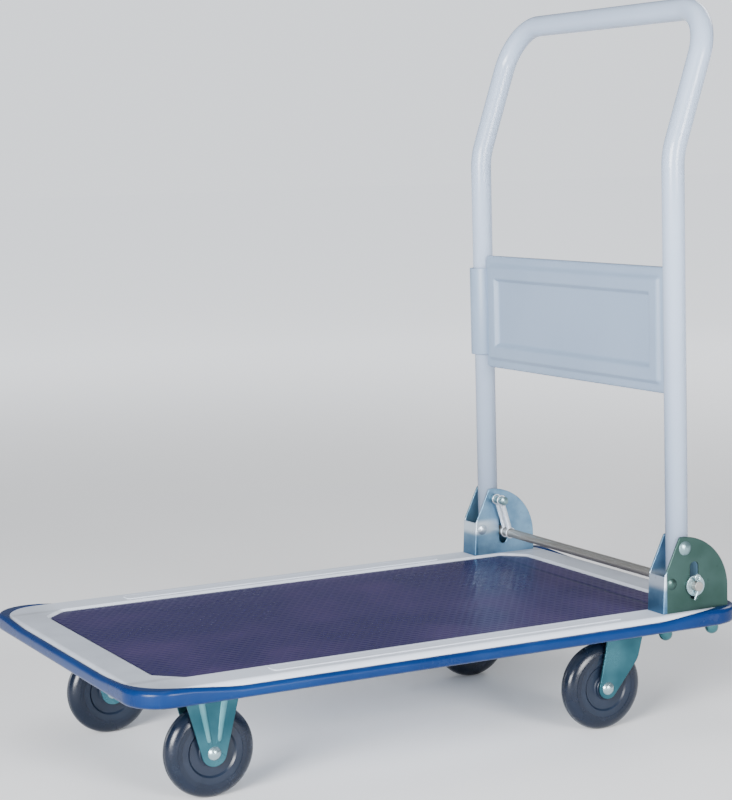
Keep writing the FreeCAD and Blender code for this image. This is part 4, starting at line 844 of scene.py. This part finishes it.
def inner_painted_reflection(finish, outer_tone):
    """Painted reflection on the web and the inner plate: bluer than the outer one, darker in clouds and with
    painted shade towards the web's foot, and a painted highlight belt across both that fades away from the
    front.
    """
    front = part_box("left_hinge_bracket")[0].x
    x, height = finish.along("X"), finish.along("Z")
    web = 1 - x.between(front + WEB_DEPTH, front + WEB_DEPTH + 0.0015)
    inner = 1 - finish.along("Y").size().between(INNER_PLATE, INNER_PLATE + PLATE_FADE)
    clouds = finish.noise(26, 4.0, 0.6).between(0.3, 0.7)
    # Painted shade towards the foot of the web.
    foot = 1 - height.between(FOOT_SHADE_LOW, FOOT_SHADE_HIGH)
    deep = clouds * 0.6 + foot * web * 0.6
    blue = finish.blend(deep, colour(*BRACKET_REFLECTED_BLUE), colour(*BRACKET_REFLECTED_DEEP))
    # Painted highlight: a bright belt across the web and the inner plate, near the front.
    highlight_belt = height.between(GLEAM_LOW, GLEAM_LOW + GLEAM_RISE)
    highlight_belt = highlight_belt * (1 - height.between(GLEAM_HIGH - GLEAM_FALL, GLEAM_HIGH))
    highlight_belt = highlight_belt * (1 - x.between(front + GLEAM_NEAR, front + GLEAM_FAR))
    blue = finish.blend(highlight_belt * 0.75, blue, colour(*BRACKET_GLEAM))
    return finish.blend(web.at_least(inner), outer_tone, blue)


pin_zinc = zinc("pin_zinc", PIN_LIGHT, PIN_DARK, 0.2)
left_shaded_zinc = zinc("left_bracket_zinc", LEFT_SHADED_LIGHT, LEFT_SHADED_DARK, 0.26, inner_painted_reflection)
right_zinc = zinc("right_bracket_zinc", RIGHT_LIGHT, RIGHT_DARK, 0.24, inner_painted_reflection)
cap_nut_zinc = zinc("cap_nut_zinc", NUT_LIGHT, NUT_DARK, 0.1)
for side, bracket_zinc in (("left", left_shaded_zinc), ("right", right_zinc)):
    finished(f"{side}_hinge_bracket", bracket_zinc, 0.0005)
    heads = (PIVOT_HEAD, PIVOT_COLLAR) if side == "left" else (SPRING_COLLAR, PIVOT_HEAD)
    turned_pin(f"{side}_pivot_pin", pin_zinc, *heads)
    turned_pin(f"{side}_stop_pin", bracket_zinc, STOP_HEAD, STOP_HEAD)
finished("hinge_bolts", bolt_zinc, 0.0004)
finished("hinge_bolt_spacers", bolt_zinc)
finished("hinge_cap_nuts", cap_nut_zinc, 0.0003)

# ---------------------------------------------------------------- release bar
# Steel rod across both brackets, polished by feet in its middle, with a washer and a split pin at
# each end. It slides down the slots against the springs.

BAR_LIGHT, BAR_DARK, BAR_RUST = (168, 167, 163), (140, 138, 134), (92, 78, 66)

bar_finish = Finish("bar_steel", metallic=0.8)
drawn = bar_finish.noise(90, 4.0, 0.6, bar_finish.stretched(6, 0.5, 6))
rust = bar_finish.noise(55, 5.0, 0.7).between(0.6, 0.74)
polish = bar_finish.along("Y").size().between(0.08, 0.2)
steel = bar_finish.blend(drawn, colour(*BAR_DARK), colour(*BAR_LIGHT))
bar_finish.link(base_color=bar_finish.blend(rust * polish * 0.5, steel, colour(*BAR_RUST)))
bar_finish.link(roughness=0.34 + polish * 0.06 + rust * 0.2 + drawn * 0.08)
bar_finish.relief((drawn, 0.00003))
bar_steel = bar_finish.material
finished("release_bar", bar_steel, 0.0004)
finished("release_bar_washers", rivet_steel, 0.0003)
finished("release_bar_split_pins", rivet_steel)

# ---------------------------------------------------------------- springs
# Two extension springs of music wire, side by side inside the right bracket. Their eyes hook over
# the pivot pin and the release bar, and each coil opens as the bar goes down.

WIRE_RADIUS = 0.0007
COIL_RADIUS = 0.0025
COIL_LENGTH = 0.032
COIL_TURNS = 21
EYE_GAP = 0.0003
BAR_RADIUS, PIN_RADIUS = 0.0055, 0.005
WIRE_CLEAN, WIRE_OILED = (238, 243, 250), (214, 222, 232)

spring_finish = Finish("spring_wire", metallic=0.7)
oil = spring_finish.noise(300, 3.0, 0.6).between(0.35, 0.7)
spring_finish.link(base_color=spring_finish.blend(oil, colour(*WIRE_CLEAN), colour(*WIRE_OILED)))
spring_finish.link(roughness=0.34 + oil * 0.12)
spring_finish.relief((spring_finish.noise(1400, 2.0), 0.00001))
spring_wire = spring_finish.material

joints = {joint["name"]: joint for joint in frame["joints"]}
pivot = Vector(joints["handle_fold"]["pos_m"])
bar_low, bar_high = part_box("release_bar")
bar_centre = (bar_low + bar_high) / 2
reach = hypot(bar_centre.x - pivot.x, bar_centre.z - pivot.z)
tilt = atan2(bar_centre.x - pivot.x, pivot.z - bar_centre.z)


def make_spring(node):
    """A spring hung from the pin: an eye, a neck, the coil, and the same again at the bar."""
    low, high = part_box(node)
    wire = Recipe(node)
    length = wire.size_of("Coil length", COIL_LENGTH)
    turns = wire.size_of("Turns", float(COIL_TURNS))
    coil_radius = wire.size_of("Coil radius", COIL_RADIUS)
    thickness = wire.size_of("Wire radius", WIRE_RADIUS)
    coil = wire.add(
        "GeometryNodeCurveSpiral",
        {},
        {
            "Resolution": 14,
            "Rotations": turns,
            "Start Radius": coil_radius,
            "End Radius": coil_radius,
            "Height": length,
        },
    )
    top = (COIL_LENGTH - reach) / 2
    coil = wire.add("GeometryNodeTransform", {}, {0: coil, "Translation": (0, 0, top - COIL_LENGTH)})
    strands = [coil]
    for depth, pin_radius, coil_end in ((0, PIN_RADIUS, top), (-reach, BAR_RADIUS, top - COIL_LENGTH)):
        eye_radius = pin_radius + EYE_GAP + WIRE_RADIUS
        eye = wire.add("GeometryNodeCurvePrimitiveCircle", {}, {"Resolution": 40, "Radius": eye_radius})
        upright = {0: eye, "Rotation": (pi / 2, 0, 0), "Translation": (0, 0, depth)}
        strands.append(wire.add("GeometryNodeTransform", {}, upright))
        inward = -eye_radius if depth == 0 else eye_radius
        ends = {"Start": (0, 0, depth + inward), "End": (COIL_RADIUS, 0, coil_end)}
        strands.append(wire.add("GeometryNodeCurvePrimitiveLine", {}, ends))
    profile = wire.add("GeometryNodeCurvePrimitiveCircle", {}, {"Resolution": 10, "Radius": thickness})
    values = {"Curve": wire.join(*strands), "Profile Curve": profile, "Fill Caps": True}
    solid = wire.add("GeometryNodeCurveToMesh", {}, values)
    hung = {0: solid, "Rotation": (0, -tilt, 0), "Translation": (pivot.x, (low.y + high.y) / 2, pivot.z)}
    spring = wire.build(f"{node}_wound", wire.add("GeometryNodeTransform", {}, hung), spring_wire)
    down = Vector((sin(tilt), 0, -cos(tilt)))
    start = pivot + down * -top
    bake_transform(spring, "platform", "release_bar", start=start, end=start + down * COIL_LENGTH)
    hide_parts(node)


for place in ("outer", "inner"):
    make_spring(f"right_{place}_spring")

# ---------------------------------------------------------------- handle tube
# One steel tube, bent at four places and powder coated pale grey. The coat is faintly creased at the
# two lower bends and chipped near the feet, where the brackets rub it.

TUBE_PAINT = (160, 175, 197)
TUBE_CHIP = (104, 108, 114)
TUBE_RADIUS, TUBE_WALL = 0.0127, 0.0015
BEND_RISE, BEND_RADIUS = 0.438, 0.090
TOP_BEND_RADIUS = 0.056
HEEL = 0.0371


def thicken(piece, thickness):
    """Give an open skin its sheet thickness, inwards."""
    wall = piece.modifiers.new("sheet thickness", "SOLIDIFY")
    wall.thickness = thickness
    wall.offset = -1


handle_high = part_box("handle_tube")[1]
post_y = handle_high.y - TUBE_RADIUS
bend_z = pivot.z + BEND_RISE
top_z = handle_high.z - TUBE_RADIUS
top_x = handle_high.x - TUBE_RADIUS

tube = Recipe("bent_tube", source=True)
tube_radius = tube.size_of("Tube radius", TUBE_RADIUS)
post_bend = tube.size_of("Post bend radius", BEND_RADIUS)
top_bend = tube.size_of("Top bend radius", TOP_BEND_RADIUS)
path = tube.add("GeometryNodeMeshToCurve", {}, {0: tube.source()})
path_height = tube.parts(tube.add("GeometryNodeInputPosition"))[2]
is_top = path_height.maths("GREATER_THAN", (bend_z + top_z) / 2)
bend = post_bend + (top_bend - post_bend) * is_top
rounded = tube.add(
    "GeometryNodeFilletCurve", {"mode": "POLY"}, {"Curve": path, "Radius": bend, "Count": 28}
)
ring = tube.add("GeometryNodeCurvePrimitiveCircle", {}, {"Resolution": 64, "Radius": tube_radius})
skin = tube.add("GeometryNodeCurveToMesh", {}, {"Curve": rounded, "Profile Curve": ring})

path_mesh = bpy.data.meshes.new("tube_path")
run = [(pivot.x, bend_z), (top_x, top_z)]
corners = [(pivot.x, -post_y, pivot.z - HEEL)] + [(a, -post_y, b) for a, b in run]
corners += [(a, post_y, b) for a, b in reversed(run)] + [(pivot.x, post_y, pivot.z - HEEL)]
path_mesh.from_pydata(corners, [(i, i + 1) for i in range(len(corners) - 1)], [])

tube_finish = Finish("tube_paint", specular_ior_level=0.5)
cloud = tube_finish.noise(9, 3.0).between(0.35, 0.7)
chips = tube_finish.noise(150, 4.0, 0.7).between(0.7, 0.73)
height = tube_finish.along("Z")
foot = 1 - height.between(pivot.z - 0.01, pivot.z + 0.07)
creases = height.maths("MULTIPLY", 900.0).maths("SINE") * height.between(bend_z - 0.02, bend_z - 0.004)
creases = creases * (1 - height.between(bend_z + 0.004, bend_z + 0.02))
rubbed = (chips * foot + tube_finish.noise(260, 2.0).between(0.76, 0.8) * 0.35).at_most(1.0)
base = tube_finish.blend(cloud * 0.25, colour(*TUBE_PAINT), colour(*(c - 14 for c in TUBE_PAINT)))
tube_finish.link(base_color=tube_finish.blend(rubbed, base, colour(*TUBE_CHIP)))
tube_finish.link(roughness=0.2 + cloud * 0.08 + rubbed * 0.2)
tube_finish.relief((tube_finish.noise(520, 1.0), 0.00008), (creases, 0.00002), (rubbed, -0.00005))
tube_paint = tube_finish.material

handle_tube = tube.build("handle_tube_bent", skin, tube_paint, path_mesh)
thicken(handle_tube, TUBE_WALL)
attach(handle_tube, "handle")
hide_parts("handle_tube")

# ---------------------------------------------------------------- handle panel
# Thin sheet pressed with a raised frame round a sunk field, its lips folded back, and welded between
# the posts. On the right a band also wraps round the front of the post.

PANEL_PAINT = (132, 151, 175)
PANEL_GRIME = (120, 126, 136)
PANEL_SHEET = 0.0012
PANEL_LIP = 0.008
FOLD_RADIUS = 0.003
FRAME_SIDE, FRAME_END = 0.007, 0.009
FRAME_WIDTH, FRAME_RISE, FIELD_SINK = 0.018, 0.004, 0.0055
FRAME_SLOPE = 0.006
FRAME_CORNER = 0.006
WRAP_SHEET = 0.0022
WRAP_MARGIN = 0.016
WRAP_EDGE = 0.0006

panel_low, panel_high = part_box("handle_panel")
panel_half = post_y - TUBE_RADIUS
panel_rise = panel_high.z - panel_low.z
panel_middle = (panel_low.z + panel_high.z) / 2
face_x = panel_high.x - PANEL_LIP
fold_length = FOLD_RADIUS * pi / 2
lip_run = fold_length + PANEL_LIP - FOLD_RADIUS - PANEL_SHEET

panel = Recipe("pressed_panel")
half_width = panel.size_of("Half width", panel_half)
half_height = panel.size_of("Half height", panel_rise / 2)
fold = panel.size_of("Fold radius", FOLD_RADIUS)
frame_rise = panel.size_of("Frame rise", FRAME_RISE)
frame_width = panel.size_of("Frame width", FRAME_WIDTH)
field_sink = panel.size_of("Field sink", FIELD_SINK)
slope = panel.size_of("Slope width", FRAME_SLOPE)
sheet = panel.add(
    "GeometryNodeMeshGrid",
    {},
    {
        "Size X": (half_width - fold + lip_run) * 2,
        "Size Y": (half_height - fold + lip_run) * 2,
        "Vertices X": 230,
        "Vertices Y": 96,
    },
)


def folded(distance, half_size):
    """Where a point goes that lies this far out along the sheet: its new distance out and depth."""
    past = (distance.size() - (half_size - fold)).at_least(0.0)
    turn = (past / fold).at_most(pi / 2)
    straight = (past - fold * (pi / 2)).at_least(0.0)
    side = distance.maths("SIGN")
    out = (distance.size().at_most(half_size - fold) + turn.maths("SINE") * fold) * side
    return out, fold - turn.maths("COSINE") * fold + straight


across, along = panel.parts(panel.add("GeometryNodeInputPosition"))[:2]
new_across, depth_across = folded(across, half_width)
new_along, depth_along = folded(along, half_height)
box_x = across.size() - (half_width - FRAME_SIDE - FRAME_CORNER)
box_y = along.size() - (half_height - FRAME_END - FRAME_CORNER)
outside_x, outside_y = box_x.at_least(0.0), box_y.at_least(0.0)
distance = (outside_x * outside_x + outside_y * outside_y).maths("SQRT")
inside = FRAME_CORNER - distance - box_x.at_least(box_y).at_most(0.0)
frame_lift = inside.between(0.0, slope) * frame_rise
field_drop = (inside - frame_width).between(0.0, slope) * field_sink
depth = depth_across.at_least(depth_along) - frame_lift + field_drop
both = depth_across.maths("GREATER_THAN", 1e-6) * depth_along.maths("GREATER_THAN", 1e-6)
notched = panel.add("GeometryNodeDeleteGeometry", {}, {"Geometry": sheet, "Selection": both})
pressed = panel.vector(depth + face_x, -new_across, new_along + panel_middle)
shaped = panel.add("GeometryNodeSetPosition", {}, {"Geometry": notched, "Position": pressed})
panel_paint = sprayed("panel_paint", PANEL_PAINT, PANEL_GRIME, 0.00007, 0.36)
handle_panel = panel.build("handle_panel_pressed", shaped, panel_paint)
thicken(handle_panel, PANEL_SHEET)
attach(handle_panel, "handle")
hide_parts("handle_panel")

band = Recipe("wrapped_band")
band_height = band.size_of("Height", panel_rise - 2 * WRAP_MARGIN)
band_radius = band.size_of("Radius", TUBE_RADIUS + WRAP_SHEET)
arc = band.add(
    "GeometryNodeCurveArc",
    {},
    {"Resolution": 40, "Radius": band_radius, "Start Angle": pi / 2, "Sweep Angle": pi},
)
upright = band.add(
    "GeometryNodeCurvePrimitiveLine", {}, {"Start": (0, 0, 0), "End": band.vector(0.0, -band_height)}
)
strip = band.add("GeometryNodeCurveToMesh", {}, {"Curve": arc, "Profile Curve": upright})
band_place = (pivot.x, post_y, panel_low.z + WRAP_MARGIN)
strip = band.add("GeometryNodeTransform", {}, {0: strip, "Translation": band_place})
panel_band = band.build("handle_panel_band", strip, panel_paint)
thicken(panel_band, WRAP_SHEET)
edges = panel_band.modifiers.new("rounded edges", "BEVEL")
edges.width = WRAP_EDGE
edges.segments = 3
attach(panel_band, "handle")
